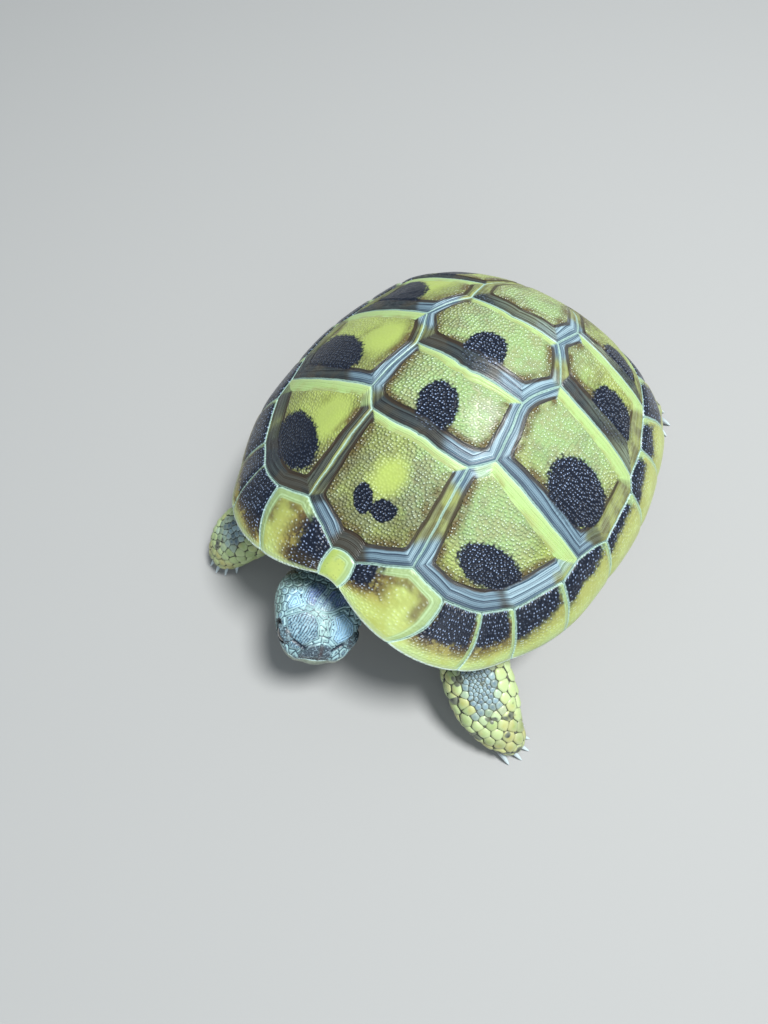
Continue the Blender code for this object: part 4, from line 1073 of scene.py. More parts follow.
def scatter(rings, size_at, keep, tries):
    """Evenly packed points on a tube, each as far apart as size_at says there."""
    rows, count = rings.shape[:2]
    quads = grid_faces(rows, count)
    corners = rings.reshape(-1, 3)[quads]
    sides = [np.cross(corners[:, 1] - corners[:, k], corners[:, 3] - corners[:, k])
             for k in (0, 2)]
    area = 0.5 * sum(np.linalg.norm(side, axis=1) for side in sides)
    v, u = quads[:, 0] // count / rows, quads[:, 0] % count / count
    size = size_at(u, v, corners.mean(1))
    chance = area / size**2 * keep(u, v, corners.mean(1))
    pick = RANDOM.choice(len(quads), tries, p=chance / chance.sum())
    a, b = RANDOM.random((2, tries, 1))
    c = corners[pick]
    places = (c[:, 0] * (1 - a) + c[:, 1] * a) * (1 - b) + (c[:, 3] * (1 - a) + c[:, 2] * a) * b
    sizes, us, vs = size[pick], u[pick], v[pick]
    kept = []
    taken, room = np.empty((tries, 3)), np.empty(tries)
    for i in range(tries):
        n = len(kept)
        if n:
            apart = np.linalg.norm(taken[:n] - places[i], axis=1)
            if (apart < CLOSEST * 0.5 * (room[:n] + sizes[i])).any():
                continue
        taken[n], room[n] = places[i], sizes[i]
        kept.append(i)
    kept = np.array(kept)
    return places[kept], sizes[kept], us[kept], vs[kept]


def even_out(tree, places, sizes, rounds):
    """Pushes points that lie too close apart, along the surface."""
    for _ in range(rounds):
        gap = places[:, None] - places[None]
        apart = np.linalg.norm(gap, axis=2) + np.eye(len(places)) * 99.0
        want = 0.5 * (sizes[:, None] + sizes[None]) * SPREAD
        push = np.maximum(want - apart, 0.0) / apart
        places = places + (gap * push[..., None]).sum(1) * PUSH
        places, _ = snap(tree, places)
    return places


def scale_reach(places, sizes, along, across, angle):
    """How far each scale reaches each way before it meets a neighbour."""
    apart = places[None] - places[:, None]
    far = np.linalg.norm(apart, axis=2) + np.eye(len(places)) * 99.0
    near = np.argsort(far, axis=1)[:, :NEIGHBOURS]
    rows = np.arange(len(places))[:, None]
    apart, far = apart[rows, near], far[rows, near]
    bearing = np.arctan2((apart * across[:, None]).sum(2), (apart * along[:, None]).sum(2))
    share = sizes[:, None] / (sizes[:, None] + sizes[near])
    limit = np.maximum(far * share - SCALE_GAP * 0.5, 0.05)
    facing = np.cos(angle[None, None] - bearing[..., None])
    pull = (np.maximum(facing, 0.0) / limit[..., None]) ** SCALE_SQUARE
    full = (1.0 / (SCALE_FULL * sizes[:, None])) ** SCALE_SQUARE
    reach = (pull.sum(1) + full) ** (-1.0 / SCALE_SQUARE)
    return reach * (1.0 + SCALE_LAP * np.maximum(np.cos(angle), 0.0))


def scale_faces(count, rows, sides):
    """Wall quads and top triangles of separate scales with a top point and rows."""
    i = np.arange(sides)
    k = (i + 1) % sides
    fan = np.stack((np.zeros(sides, int), 1 + i, 1 + k), -1)
    quads = np.concatenate([np.stack((1 + r * sides + i, 1 + (r + 1) * sides + i,
                                      1 + (r + 1) * sides + k, 1 + r * sides + k), -1)
                            for r in range(rows - 1)])
    start = (np.arange(count) * (1 + rows * sides))[:, None, None]
    return [(quads[None] + start).reshape(-1, 4), (fan[None] + start).reshape(-1, 3)]


def make_scales(name, tree, places, sizes, flow, uv, height, material, values, sides):
    """Small horny scales packed side by side over a surface.  flow is the way each
    one's free edge points; height is how far its middle stands up."""
    count = len(places)
    _, normals = snap(tree, places)
    along = unit(flow - normals * (flow * normals).sum(1, keepdims=True))
    across = np.cross(normals, along)
    angle = circle(sides)
    reach = scale_reach(places, sizes, along, across, angle)
    rows = [np.stack((np.zeros(count), np.zeros(count), height), -1)[:, None]]
    for step, lift in SCALE_FORM:
        dx, dy = reach * step * np.cos(angle), reach * step * np.sin(angle)
        rise = height[:, None] * lift
        lean = height[:, None] * SCALE_TILT * dx / sizes[:, None] * 2.0 * (lift > 0)
        rows.append(np.stack((dx, dy, rise + lean), -1))
    local = np.concatenate(rows, 1)
    world = places[:, None] + along[:, None] * local[..., :1] + across[:, None] * local[..., 1:2]
    base, outward = snap(tree, world.reshape(-1, 3))
    final = base + outward * local[..., 2].reshape(-1, 1)
    final[:, 2] = np.maximum(final[:, 2], SCALE_FLOOR)
    patch = local[..., :2] / sizes[:, None, None] * 0.003
    maps = np.clip(uv[:, None] + patch, 0.0, 1.0).reshape(-1, 2)
    each = local.shape[1]
    edge = np.append(0.0, np.repeat([step for step, _ in SCALE_FORM], sides))
    edge[-sides:] = 1.15
    filled = {key: np.repeat(value, each) for key, value in values.items()}
    filled["edge"] = np.tile(edge, count)
    filled["tone"] = np.repeat(RANDOM.random(count), each)
    return make_mesh(name, final, scale_faces(count, len(SCALE_FORM), sides), filled, maps,
                     material)


def leg_size(u, v, front):
    """Spacing of a leg's scales: large along its edges, fine on its upper face."""
    c, s = np.cos(2 * math.pi * u), np.sin(2 * math.pi * u)
    if front:
        edge = smooth(0.16, 0.74, np.abs(c))
        toes = smooth(0.32, 0.62, v)
        wide = np.maximum(edge, toes * 0.9)
        size = mix(0.42, 1.50, wide)
        size = mix(size, 0.62, smooth(0.33, 0.12, v))
        size = np.where(s < -0.3, mix(size, 0.85, 0.5), size)
    else:
        edge = smooth(0.40, 0.75, np.abs(c))
        size = mix(0.72, 1.05, smooth(0.55, 0.85, v))
        size = mix(size, 1.25, smooth(0.80, 0.95, v) * edge)
    return mix(size, 0.8, smooth(0.93, 1.0, v))


def make_coat(name, rings, size_at, keep, tries, flow_at, high, blue_at, along,
              material, rounds=8, sides=12):
    """The scales of a limb, the tail or the neck.  size_at, flow_at and high give each
    scale's spacing, way and height; blue_at and along are what the shader reads."""
    tree = tree_of(rings)
    places, sizes, u, v = scatter(rings, size_at, keep, tries)
    places = even_out(tree, places, sizes, rounds)
    uv = np.stack((0.02 + 0.95 * u, 0.02 + 0.95 * v), -1)
    values = {"blue": blue_at(sizes, v), "along": along * v}
    piece = make_scales(f"scales_{name}", tree, places, sizes, flow_at(v), uv, high(sizes),
                        material, values, sides)


def make_leg_coat(name, limb, material):
    """A leg's scales, which lie along it and are bluest where they are small."""
    front = "front" in name
    rings = tube_rings(limb["path"], limb["wide"], 14, 96, COAT - 0.02)
    ahead = unit(np.gradient(rings.mean(1), axis=0))
    last = len(rings) - 1
    make_coat(name, rings,
              size_at=lambda u, v, place: leg_size(u, v, front),
              keep=lambda u, v, place: (v > 0.16) & (place[:, 2] > 0.25), tries=9000,
              flow_at=lambda v: ahead[np.clip((v * (last + 1)).astype(int), 0, last)],
              high=lambda sizes: np.clip(0.17 * sizes, 0.09, 0.21),
              blue_at=lambda sizes, v: (smooth(1.15, 0.70, sizes) * smooth(0.85, 0.6, v)
                                        * (1.0 if front else 0.65)),
              along=1.0, material=material)


def one_way(direction):
    """The same direction for every scale."""
    return lambda v: np.repeat(unit(np.array((direction,))), len(v), 0)


def make_tail_coat(material):
    """The tail's scales."""
    make_coat("tail", tail_rings(14, 64), size_at=lambda u, v, place: 0.75 - 0.25 * v,
              keep=lambda u, v, place: v > 0.30, tries=4000, flow_at=one_way((0.05, 0.8, -0.4)),
              high=lambda sizes: 0.13 * sizes, blue_at=lambda sizes, v: np.full(len(v), 0.3),
              along=1.0, material=material)


def make_neck_coat(material):
    """The fine scales of the neck, blue like the head."""
    make_coat("neck", neck_rings(14, 96), size_at=lambda u, v, place: np.full(len(u), 0.62),
              keep=lambda u, v, place: (v > 0.45) & (place[:, 1] < NECK_COAT_Y), tries=6000,
              flow_at=one_way((-0.2, -0.9, 0.0)), high=lambda sizes: 0.16 * sizes,
              blue_at=lambda sizes, v: np.full(len(v), 0.8), along=0.3,
              material=material, rounds=5, sides=8)


def make_claws(name, limb, material):
    """The claws of one foot: tapered and bent down, side by side."""
    toe, heading = np.array(limb["toe"]), unit(np.array(limb["heading"]))
    upward = np.array((0.0, 0.0, 1.0))
    across = unit(np.cross(heading, upward))
    count, rows, sides = limb["claws"], 14, 14
    x = np.linspace(0.0, 1.0, rows)
    radius = CLAW_RADIUS * (1.0 - x**1.5) ** 0.75 * (0.85 + 0.3 * x) + CLAW_TIP
    drop = -CLAW_BEND * x**2.0 + 0.12 * np.sin(x * math.pi) + 0.05
    c, s = np.cos(circle(sides)), np.sin(circle(sides))
    tubes = []
    for share in np.linspace(-1.0, 1.0, count):
        ahead = turned("Z", -share * CLAW_FAN) @ heading
        root = (toe + across * (share * limb["spread"] / 2)
                - heading * (CLAW_ROOT + 0.9 * share * share))
        root[2] = CLAW_Z
        length = limb["claw"] + CLAW_ROOT - 0.5 * share * share
        level = unit(ahead * np.array((1.0, 1.0, 0.25)))
        sideways = unit(np.cross(level, upward))
        spine = root + level * (x * length * 0.965)[:, None] + upward * drop[:, None]
        spine[:, 2] = np.maximum(spine[:, 2], 0.12)
        ring = (spine[:, None] + sideways * (radius[:, None] * c * 0.9)[..., None]
                + upward * (radius[:, None] * s)[..., None])
        ring[..., 2] = np.maximum(ring[..., 2], 0.03)
        tubes.append(closed_tube(ring))
    points, faces = joined(tubes)
    along = np.tile(np.append(np.repeat(x, sides), (0.0, 1.0)), count)
    number = np.repeat(np.arange(count), rows * sides + 2)
    turn = np.tile(np.append(np.tile(np.arange(sides) / sides, rows), (0.5, 0.5)), count)
    uv = np.stack(((number + 0.05 + 0.9 * turn) / count, 0.02 + 0.96 * along), -1)
    piece = make_mesh(f"claws_{name}", points, faces, {"along": along}, uv, material)


# ---------------------------------------------------------------- head
SHIELDS = {   # (left, forward) points of each large shield of the crown
    "prefrontal_right": ((-3.95, -0.25), (-1.85, -0.85), (-0.85, -0.45), (-0.25, 0.55),
                         (-0.15, 2.0), (-1.1, 2.45), (-2.2, 3.15), (-3.1, 2.95), (-3.75, 0.9)),
    "prefrontal_left": ((1.0, -0.4), (2.3, -1.1), (3.6, -0.1), (3.8, 0.7), (3.75, 1.5),
                        (1.95, 2.55), (1.15, 2.0), (1.45, 0.85)),
    "spindle": ((0.62, -0.35), (1.25, 0.35), (0.98, 2.05), (0.6, 1.2), (0.35, 0.33)),
    "frontal_right": ((-1.0, -0.95), (-1.95, -1.3), (-2.5, -2.2), (-2.1, -3.5), (-1.0, -4.3),
                      (0.45, -3.9), (0.42, -3.3), (-0.4, -2.2)),
    "frontal_left": ((-0.72, -0.85), (-0.05, -2.15), (0.78, -3.4), (2.2, -3.7), (3.2, -2.7),
                     (3.1, -1.5), (2.3, -1.4), (0.9, -0.65), (0.2, -0.55)),
    "temple_right": ((-2.15, -1.3), (-3.85, -0.55), (-4.0, -1.3), (-3.5, -2.5), (-2.75, -2.7)),
    "temple_left": ((3.35, -1.4), (3.45, -2.6), (4.2, -1.9), (4.3, -0.6), (3.7, -0.35)),
    "nasal_right": ((0.2, 2.25), (-1.1, 2.7), (-2.2, 3.4), (-1.4, 3.75), (0.1, 3.7)),
    "nasal_left": ((0.4, 2.25), (0.95, 2.3), (1.8, 2.85), (1.5, 3.6), (0.4, 3.7)),
}
SHIELD_STRIAE = (1.0, 0.35, 0.3, 0.8, 0.6, 0.3, 0.3, 0.5, 0.5)      # how streaked each is
STREAK, STREAK_OUT, STREAK_AHEAD = 0.28, 0.92, 0.40    # the streaks' spacing in mm and way
# the sky spots are a painted highlight rather than a tint of the horn
HEAD_SPOTS = {   # tinted parts of the crown: (left, forward, half width, half length)
    "violet": ((-0.6, -2.6, 1.3, 1.5), (1.6, -2.4, 1.3, 1.2)),
    "sky": ((2.4, 0.5, 1.6, 1.8), (-2.9, -2.0, 1.3, 1.1)),
    "ridge": ((0.35, 1.0, 0.75, 1.5), (-0.4, -0.6, 1.3, 0.5)),
    "green": ((-3.4, -4.2, 1.6, 1.2), (-4.8, -2.0, 0.6, 2.2), (3.8, -3.6, 1.6, 1.4)),
}


def polygon_depth(points, polygon):
    """Signed distance inside a polygon, positive within."""
    polygon = np.asarray(polygon, float)
    best = np.full(len(points), 1e9)
    inside = np.zeros(len(points), bool)
    for p, q in zip(polygon, np.roll(polygon, -1, 0)):
        line, rel = q - p, points - p
        share = np.clip(rel @ line / (line @ line), 0.0, 1.0)[:, None]
        best = np.minimum(best, np.linalg.norm(rel - line * share, axis=1))
        crosses = (p[1] > points[:, 1]) != (q[1] > points[:, 1])
        with np.errstate(divide="ignore", invalid="ignore"):
            x = (q[0] - p[0]) * (points[:, 1] - p[1]) / (q[1] - p[1]) + p[0]
        inside ^= crosses & (points[:, 0] < x)
    return np.where(inside, best, -best)


def head_grid(rows, count):
    """The head's places as (forward, left, up), and unrolled flat from the crown."""
    snout = np.linspace(0, 1, 71)[1:] ** 0.8 * 0.9999
    stations = np.concatenate((np.linspace(0.0, 1.0, rows - len(snout)), 1.0 + snout))
    local = head_surface(stations, count, COAT - 0.02)
    arc = np.linalg.norm(np.diff(local, axis=1, append=local[:, :1]), axis=2)
    crown = int(round(count * 0.25 - 0.5))
    half = np.cumsum(np.roll(arc, -crown, 1), 1)
    right = np.concatenate((np.zeros((rows, 1)), half[:, :-1]), 1)
    left = right - half[:, -1:]
    width = np.where(np.arange(count)[None] < count // 2, -right, -left)
    flat = np.stack((np.roll(width, crown, 1), local[..., 0]), -1)
    return local.reshape(-1, 3), flat.reshape(-1, 2)


def head_plates(plan, flat, upper):
    """For each place: depth inside its shield or small scale, whether it is a small
    one, the shield's number, and the small scale's random tone."""
    depth, shield = np.full(len(plan), -9.0), np.full(len(plan), -1)
    for k, polygon in enumerate(SHIELDS.values()):
        inside = np.where(upper > 0.3, polygon_depth(plan, polygon), -9.0)
        shield = np.where(inside > depth, k, shield)
        depth = np.maximum(depth, inside)
    seeds = []
    for y in np.arange(-6.5, 4.6, SMALL_ALONG):
        aside = 0.5 * SMALL_ACROSS * (round(y / SMALL_ALONG) % 2)
        for x in np.arange(-13.0, 13.0, SMALL_ACROSS):
            seeds.append((x + aside + RANDOM.normal() * 0.13, y + RANDOM.normal() * 0.12))
    seeds = np.array(seeds)
    for polygon in SHIELDS.values():
        seeds = seeds[polygon_depth(seeds, polygon) < 0.28]
    first, second, which = voronoi(flat, seeds)
    small = depth < 0.0
    depth = np.where(small, np.minimum((second - first) * 0.5, -depth + 0.03), depth)
    return depth, small, shield, RANDOM.random(len(seeds))[which]


def groove_distance(t, out, side):
    """Distance on the plan to the groove under one side's brow shield."""
    line = [(ahead, side * away) for ahead, away in BROW_GROOVE]
    best = np.full(len(t), 9.0)
    for (ta, oa), (tb, ob) in zip(line[:-1], line[1:]):
        run = np.array((tb - ta, ob - oa))
        share = np.clip(((t - ta) * run[0] + (out - oa) * run[1]) / (run @ run), 0.0, 1.0)
        best = np.minimum(best, np.hypot(t - ta - run[0] * share, out - oa - run[1] * share))
    return best


def make_head(material):
    """The head's shields and small scales in relief, with mouth, nostrils, sockets."""
    rows, count = 300, 300
    local, flat = head_grid(rows, count)
    grid = local.reshape(rows, count, 3)
    normal = np.cross(np.gradient(grid, axis=1), np.gradient(grid, axis=0))
    normal = unit(normal.reshape(-1, 3))
    centre = np.array((0.0, 0.0, -0.3))
    if ((local - centre) * normal).sum() < 0:
        normal = -normal
    t, out, high = local.T
    plan = np.stack((out, t), -1)
    upper = smooth(-0.2, 0.5, normal[:, 2] + 0.6 * smooth(3.2, 3.8, t))
    depth, small, shield, cell = head_plates(plan, flat, upper)
    height = np.where(small, SMALL_HIGH * smooth(0.0, 0.16, depth),
                      SHIELD_HIGH * smooth(0.0, 0.20, depth))
    rings = (0.012 * np.cos(2 * math.pi * depth / HEAD_RING) * smooth(0.05, 0.2, depth)
             * (1 - smooth(0.7, 1.1, depth)))
    height = height + np.where(small, 0.0, rings)
    stria = np.where(small, 0.0, np.array(SHIELD_STRIAE)[shield]) * smooth(0.10, 0.32, depth)
    streaks = plan[:, 0] * STREAK_OUT + plan[:, 1] * STREAK_AHEAD
    height = height + 0.010 * np.sin(streaks * 2 * math.pi / STREAK) * stria
    # the beak's smooth band and the mouth line
    over = high - mouth_height(t)
    band = smooth(1.15, 0.95, over) * smooth(-1.5, -1.2, over) * smooth(-2.2, -1.6, t)
    mouth = np.exp(-(over / 0.10) ** 2) * smooth(-2.9, -2.3, t)
    height = mix(height, BEAK_HIGH, band) - MOUTH_DEEP * mouth
    height = height - LIP_OVER * smooth(0.05, -0.10, over) * smooth(-2.6, -2.0, t)
    nostril, brow, socket = (np.full(len(t), 9.0) for _ in range(3))
    for side in (-1, 1):
        hole = (np.hypot(out - side * NOSTRIL_OUT, (high - NOSTRIL_UP) * 1.2)
                + smooth(3.4, 3.0, t))
        height = (height - NOSTRIL_DEEP * smooth(0.25, 0.06, hole)
                  + 0.06 * np.exp(-((hole - 0.34) / 0.12) ** 2))
        nostril = np.minimum(nostril, hole)
        groove = groove_distance(t, out, side) + 9.0 * (normal[:, 2] < -0.2)
        brow = np.minimum(brow, groove)
        away = local - eye_place(side)
        oval = np.hypot(away[:, 0] / SOCKET_LONG, away[:, 2] / SOCKET_HIGH)
        socket = np.minimum(socket, np.where(out * side > 1.5, oval, 9.0))
    height = height - GROOVE_DEEP * np.exp(-(brow / 0.15) ** 2)
    height = height - SOCKET_DEEP * smooth(0.98, 0.80, socket)
    values = {
        "depth": depth, "beak": band, "mouth": mouth, "t": t, "out": out, "high": high,
        "socket": socket, "brow": brow, "nostril": nostril, "cell": cell, "stria": stria,
    }
    for key, spots in HEAD_SPOTS.items():
        values[key] = blob_plan(plan, spots)
    uv = np.stack(((np.tile(np.arange(count), rows) + 0.5) / count,
                   np.repeat(np.linspace(0.01, 0.99, rows), count)), -1)
    piece = make_mesh("head_shields", from_head(local + normal * height[:, None]),
                      grid_faces(rows, count), values, uv, material)
    face_up_from(piece, from_head(centre))
    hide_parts("head")


def mouth_height(t):
    """The mouth line's height at each place along the head."""
    return (MOUTH_Z + 0.10 * smooth(1.5, -2.6, t) - 0.16 * smooth(3.4, 4.0, t)
            + 0.10 * smooth(2.2, 3.2, t))


def blob_plan(plan, spots):
    """Soft oval spots on the head's plan: 1 within a spot, 0 away from all."""
    best = np.zeros(len(plan))
    for x, y, wide, long in spots:
        far = np.hypot((plan[:, 0] - x) / wide, (plan[:, 1] - y) / long)
        best = np.maximum(best, smooth(1.15, 0.55, far))
    return best


def voronoi(points, seeds):
    """Distances to the nearest and second nearest seed, and which is nearest."""
    first, second = np.empty(len(points)), np.empty(len(points))
    which = np.empty(len(points), int)
    for start in range(0, len(points), 20000):
        some = points[start:start + 20000]
        far = np.hypot(some[:, None, 0] - seeds[None, :, 0], some[:, None, 1] - seeds[None, :, 1])
        two = np.argpartition(far, 1, axis=1)[:, :2]
        pair = np.take_along_axis(far, two, 1)
        order = np.argsort(pair, 1)
        pair = np.take_along_axis(pair, order, 1)
        which[start:start + 20000] = np.take_along_axis(two, order, 1)[:, 0]
        first[start:start + 20000], second[start:start + 20000] = pair[:, 0], pair[:, 1]
    return first, second, which


def eye_place(side):
    """An eyeball's middle in the head's axes."""
    return np.array((EYE_AT[0], EYE_AT[1] * side, EYE_AT[2]))


def make_eye(side, word, eye_material, lid_material):
    """One eyeball, and the lids round it as an almond opening."""
    centre = eye_place(side)
    look = unit(np.array((0.34, side * 0.93, 0.02)))
    aft = unit(np.cross(look, (0.0, 0.0, 1.0)) * side)     # along the slit, rearward or forward
    up = unit(np.cross(aft, look) * side)
    if up[2] < 0:
        up = -up
    rings, sides = 40, 48
    polar = np.linspace(0.0, math.pi, rings + 1)[1:-1]
    angle = circle(sides)
    c, s = np.cos(angle), np.sin(angle)
    hidden = 1.0 - 0.26 * smooth(1.0, 1.9, polar)      # the ball's back stays inside the head
    cornea = EYE_RADIUS * (0.97 + 0.035 * np.exp(-(polar / 0.55) ** 2)) * hidden
    wide = EYE_RADIUS * 0.97 * np.sin(polar) * hidden
    ball = (centre + look * (cornea * np.cos(polar))[:, None, None]
            + (aft * c[:, None] + up * s[:, None])[None] * wide[:, None, None])
    points, faces = closed_tube(ball)
    points[-2] = centre + look * EYE_RADIUS * 1.005
    points[-1] = centre - look * EYE_RADIUS * 0.72
    iris = np.append(np.repeat(polar, sides), (0.0, math.pi))
    uv = np.stack([0.5 + 0.16 * np.append(np.tile(k, len(polar)), (0, 0)) * iris
                   for k in (c, s)], -1)
    piece = make_mesh(f"eyeball_{word}", from_head(points), faces, {"iris": iris}, uv, eye_material)
    face_up_from(piece, from_head(centre))
    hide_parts(f"eye_{word}")
    # lids: a rounded rim round an almond opening, running out under the shields
    rows, cols = 26, 96
    angle = circle(cols)
    c, s = np.cos(angle), np.sin(angle)
    half_long, half_high = 1.02, np.where(s > 0, 0.62, 0.70)
    open_x, open_y = half_long * c, half_high * s * (1.0 - 0.18 * np.abs(c) ** 3)
    lay = np.linspace(0.0, 1.0, rows)[:, None]
    x = open_x * (1.0 + lay * 0.62)
    y = open_y * (1.0 + lay * np.where(s > 0, 1.45, 1.05))
    flat = np.hypot(x, y)
    base = np.sqrt(np.maximum((EYE_RADIUS + 0.05) ** 2 - flat**2, 0.0))
    roll = 0.15 * np.sin(np.clip(lay / 0.24, 0, 1) * math.pi / 2) - 0.07 * smooth(0.3, 0.5, lay)
    folds = 0.03 * np.cos(lay * 6 * math.pi) * smooth(0.25, 0.4, lay)
    beads = 0.012 * np.cos(angle * 26)[None] * np.exp(-((lay - 0.30) / 0.1) ** 2)
    rise = base + roll + folds + beads - 0.55 * smooth(0.60, 1.0, lay)
    start = base[:1] - 0.22
    x, y = np.vstack((x[:1] * 1.02, x)), np.vstack((y[:1] * 1.02, y))
    rise = np.vstack((start, rise))
    lids = centre + look * rise[..., None] + aft * x[..., None] + up * y[..., None]
    edge = np.vstack((np.zeros((1, 1)), lay)) * np.ones(cols)
    uv = fit_uv(np.stack((x.reshape(-1), y.reshape(-1)), -1))
    lid = make_mesh(f"lids_{word}", from_head(lids.reshape(-1, 3)), grid_faces(rows + 1, cols),
                    {"edge": edge.reshape(-1)}, uv, lid_material)
    face_up(lid, from_head(look) - from_head(np.zeros(3)))


# ---------------------------------------------------------------- materials
class Value:
    """A number or colour that nodes work out: it can be added to and multiplied."""

    def __init__(self, nodes, socket):
        self.nodes, self.socket = nodes, socket

    def also(self, output):
        """Another output of the same node."""
        return Value(self.nodes, self.socket.node.outputs[output])

    def __add__(self, other):
        return self.nodes.math("ADD", self, other)

    def __sub__(self, other):
        return self.nodes.math("SUBTRACT", self, other)

    def __rsub__(self, other):
        return self.nodes.math("SUBTRACT", other, self)

    def __mul__(self, other):
        return self.nodes.math("MULTIPLY", self, other)

    def __abs__(self):
        return self.nodes.math("ABSOLUTE", self)


class Nodes:
    """Short names for building a material's nodes."""

    def __init__(self, name):
        self.material = bpy.data.materials.new(name)
        self.material.use_nodes = True
        self.tree = self.material.node_tree
        self.shader = self.tree.nodes["Principled BSDF"]
        self.coords = None

    def link(self, value, socket):
        """Feeds a socket from a value, a number or a colour."""
        if isinstance(value, Value):
            self.tree.links.new(value.socket, socket)
        else:
            socket.default_value = (*value, 1.0) if isinstance(value, tuple) else value

    def add(self, kind, inputs, output=0, **settings):
        """One output of a new node with these inputs and settings."""
        node = self.tree.nodes.new(kind)
        for key, value in settings.items():
            setattr(node, key, value)
        for key, value in inputs.items():
            self.link(value, node.inputs[key])
        return Value(self, node.outputs[output])

    def attribute(self, name, output="Fac"):
        return self.add("ShaderNodeAttribute", {}, output, attribute_name=name)

    def attributes(self, names):
        return [self.attribute(name) for name in names.split()]

    def math(self, operation, a, b=0.0):
        return self.add("ShaderNodeMath", {0: a, 1: b}, operation=operation)

    def sine(self, value):
        return self.math("SINE", value)

    def larger(self, a, b):
        return self.math("MAXIMUM", a, b)

    def ramp(self, value, low, high, to_low=0.0, to_high=1.0):
        """A smooth step as the value goes from low to high, which may be the smaller."""
        inputs = {"Value": value, "From Min": low, "From Max": high, "To Min": to_low,
                  "To Max": to_high}
        return self.add("ShaderNodeMapRange", inputs, "Result", interpolation_type="SMOOTHSTEP")

    def mix(self, share, a, b):
        return self.add("ShaderNodeMix", {0: share, 6: a, 7: b}, 2, data_type="RGBA")

    def fade(self, value, low, high, a, b):
        """From colour a to colour b as the value goes from low to high."""
        return self.mix(self.ramp(value, low, high), a, b)

    def place(self):
        if self.coords is None:
            self.coords = self.add("ShaderNodeTexCoord", {}, "Object")
        return self.coords

    def noise(self, size_mm, detail=3.0, rough=0.55):
        inputs = {"Vector": self.place(), "Scale": 1.0 / (size_mm * MM), "Detail": detail,
                  "Roughness": rough}
        return self.add("ShaderNodeTexNoise", inputs, "Fac")

    def lines(self, distance_mm, along, size_mm):
        """Uneven fine lines that follow a distance in mm."""
        place = self.add("ShaderNodeCombineXYZ", {0: distance_mm, 1: along * 0.12})
        inputs = {"Vector": place, "Scale": 1.0 / size_mm, "Detail": 1.0}
        return self.add("ShaderNodeTexNoise", inputs, "Fac", noise_dimensions="2D")

    def cells(self, size_mm, flat=None, randomness=0.85):
        """Distance from the middle of round cells, in space or on a flat place in mm."""
        inputs = {"Vector": self.place() if flat is None else flat,
                  "Scale": 1.0 / (size_mm * MM if flat is None else size_mm),
                  "Randomness": randomness, "Smoothness": 0.25}
        return self.add("ShaderNodeTexVoronoi", inputs, "Distance", feature="SMOOTH_F1",
                        voronoi_dimensions="3D" if flat is None else "2D")

    def bump(self, height, distance_mm):
        inputs = {"Height": height, "Distance": distance_mm * MM, "Strength": 1.0}
        return self.add("ShaderNodeBump", inputs, "Normal")

    def done(self, colour, roughness, normal=None, coat=0.0, specular=0.5, coat_rough=0.2):
        """The finished material."""
        values = {"Base Color": colour, "Roughness": roughness, "Specular IOR Level": specular,
                  "Coat Weight": coat, "Coat Roughness": coat_rough}
        if normal is not None:
            values["Normal"] = normal
        for key, value in values.items():
            self.link(value, self.shader.inputs[key])
        return self.material


BELLY_BAND = 6.8               # mm from the middle to each dark band of the underside
YELLOW = (0.37, 0.44, 0.12)
BRIGHT = (0.41, 0.52, 0.11)
OLIVE = (0.17, 0.175, 0.045)
OCHRE = (0.20, 0.135, 0.030)
ORANGE = (0.36, 0.29, 0.07)
BROWN = (0.035, 0.022, 0.012)
NAVY = (0.003, 0.006, 0.016)
SLATE = (0.045, 0.085, 0.125)
# pale blue ring lines, partly a painted sky reflection
PALE_RING_SHEEN = (0.36, 0.50, 0.56)
SEAM = (0.40, 0.58, 0.50)
# painted glint on the beads' tips
PAINTED_GLINT = (0.72, 0.80, 0.66)
# painted glint on the beads of the black patches
PAINTED_INK_GLINT = (0.38, 0.49, 0.72)


def granules(n, size_mm=0.36):
    """Tiny beads on a plate: their tips, where painted glints go, the gaps between them, where
    painted shade goes, and their height.
    """
    far = n.cells(size_mm, n.attribute("plane", "Vector"), 0.72)
    tips = n.ramp(far, 0.30, 0.06) * n.ramp(far.also("Color"), 0.32, 0.66, 0.12, 1.0)
    return tips, n.ramp(far, 0.34, 0.64), n.ramp(far, 0.64, 0.0)


def seam_lines(n, colour, seam, fine):
    """The pale seam round each plate, with the dark crack in its middle."""
    line = seam + (fine - 0.5) * 0.10
    colour = n.mix(n.ramp(line, 0.21, 0.05) * 0.8, colour, SEAM)
    return n.mix(n.ramp(line, 0.04, 0.0) * 0.8, colour, (0.04, 0.06, 0.06))


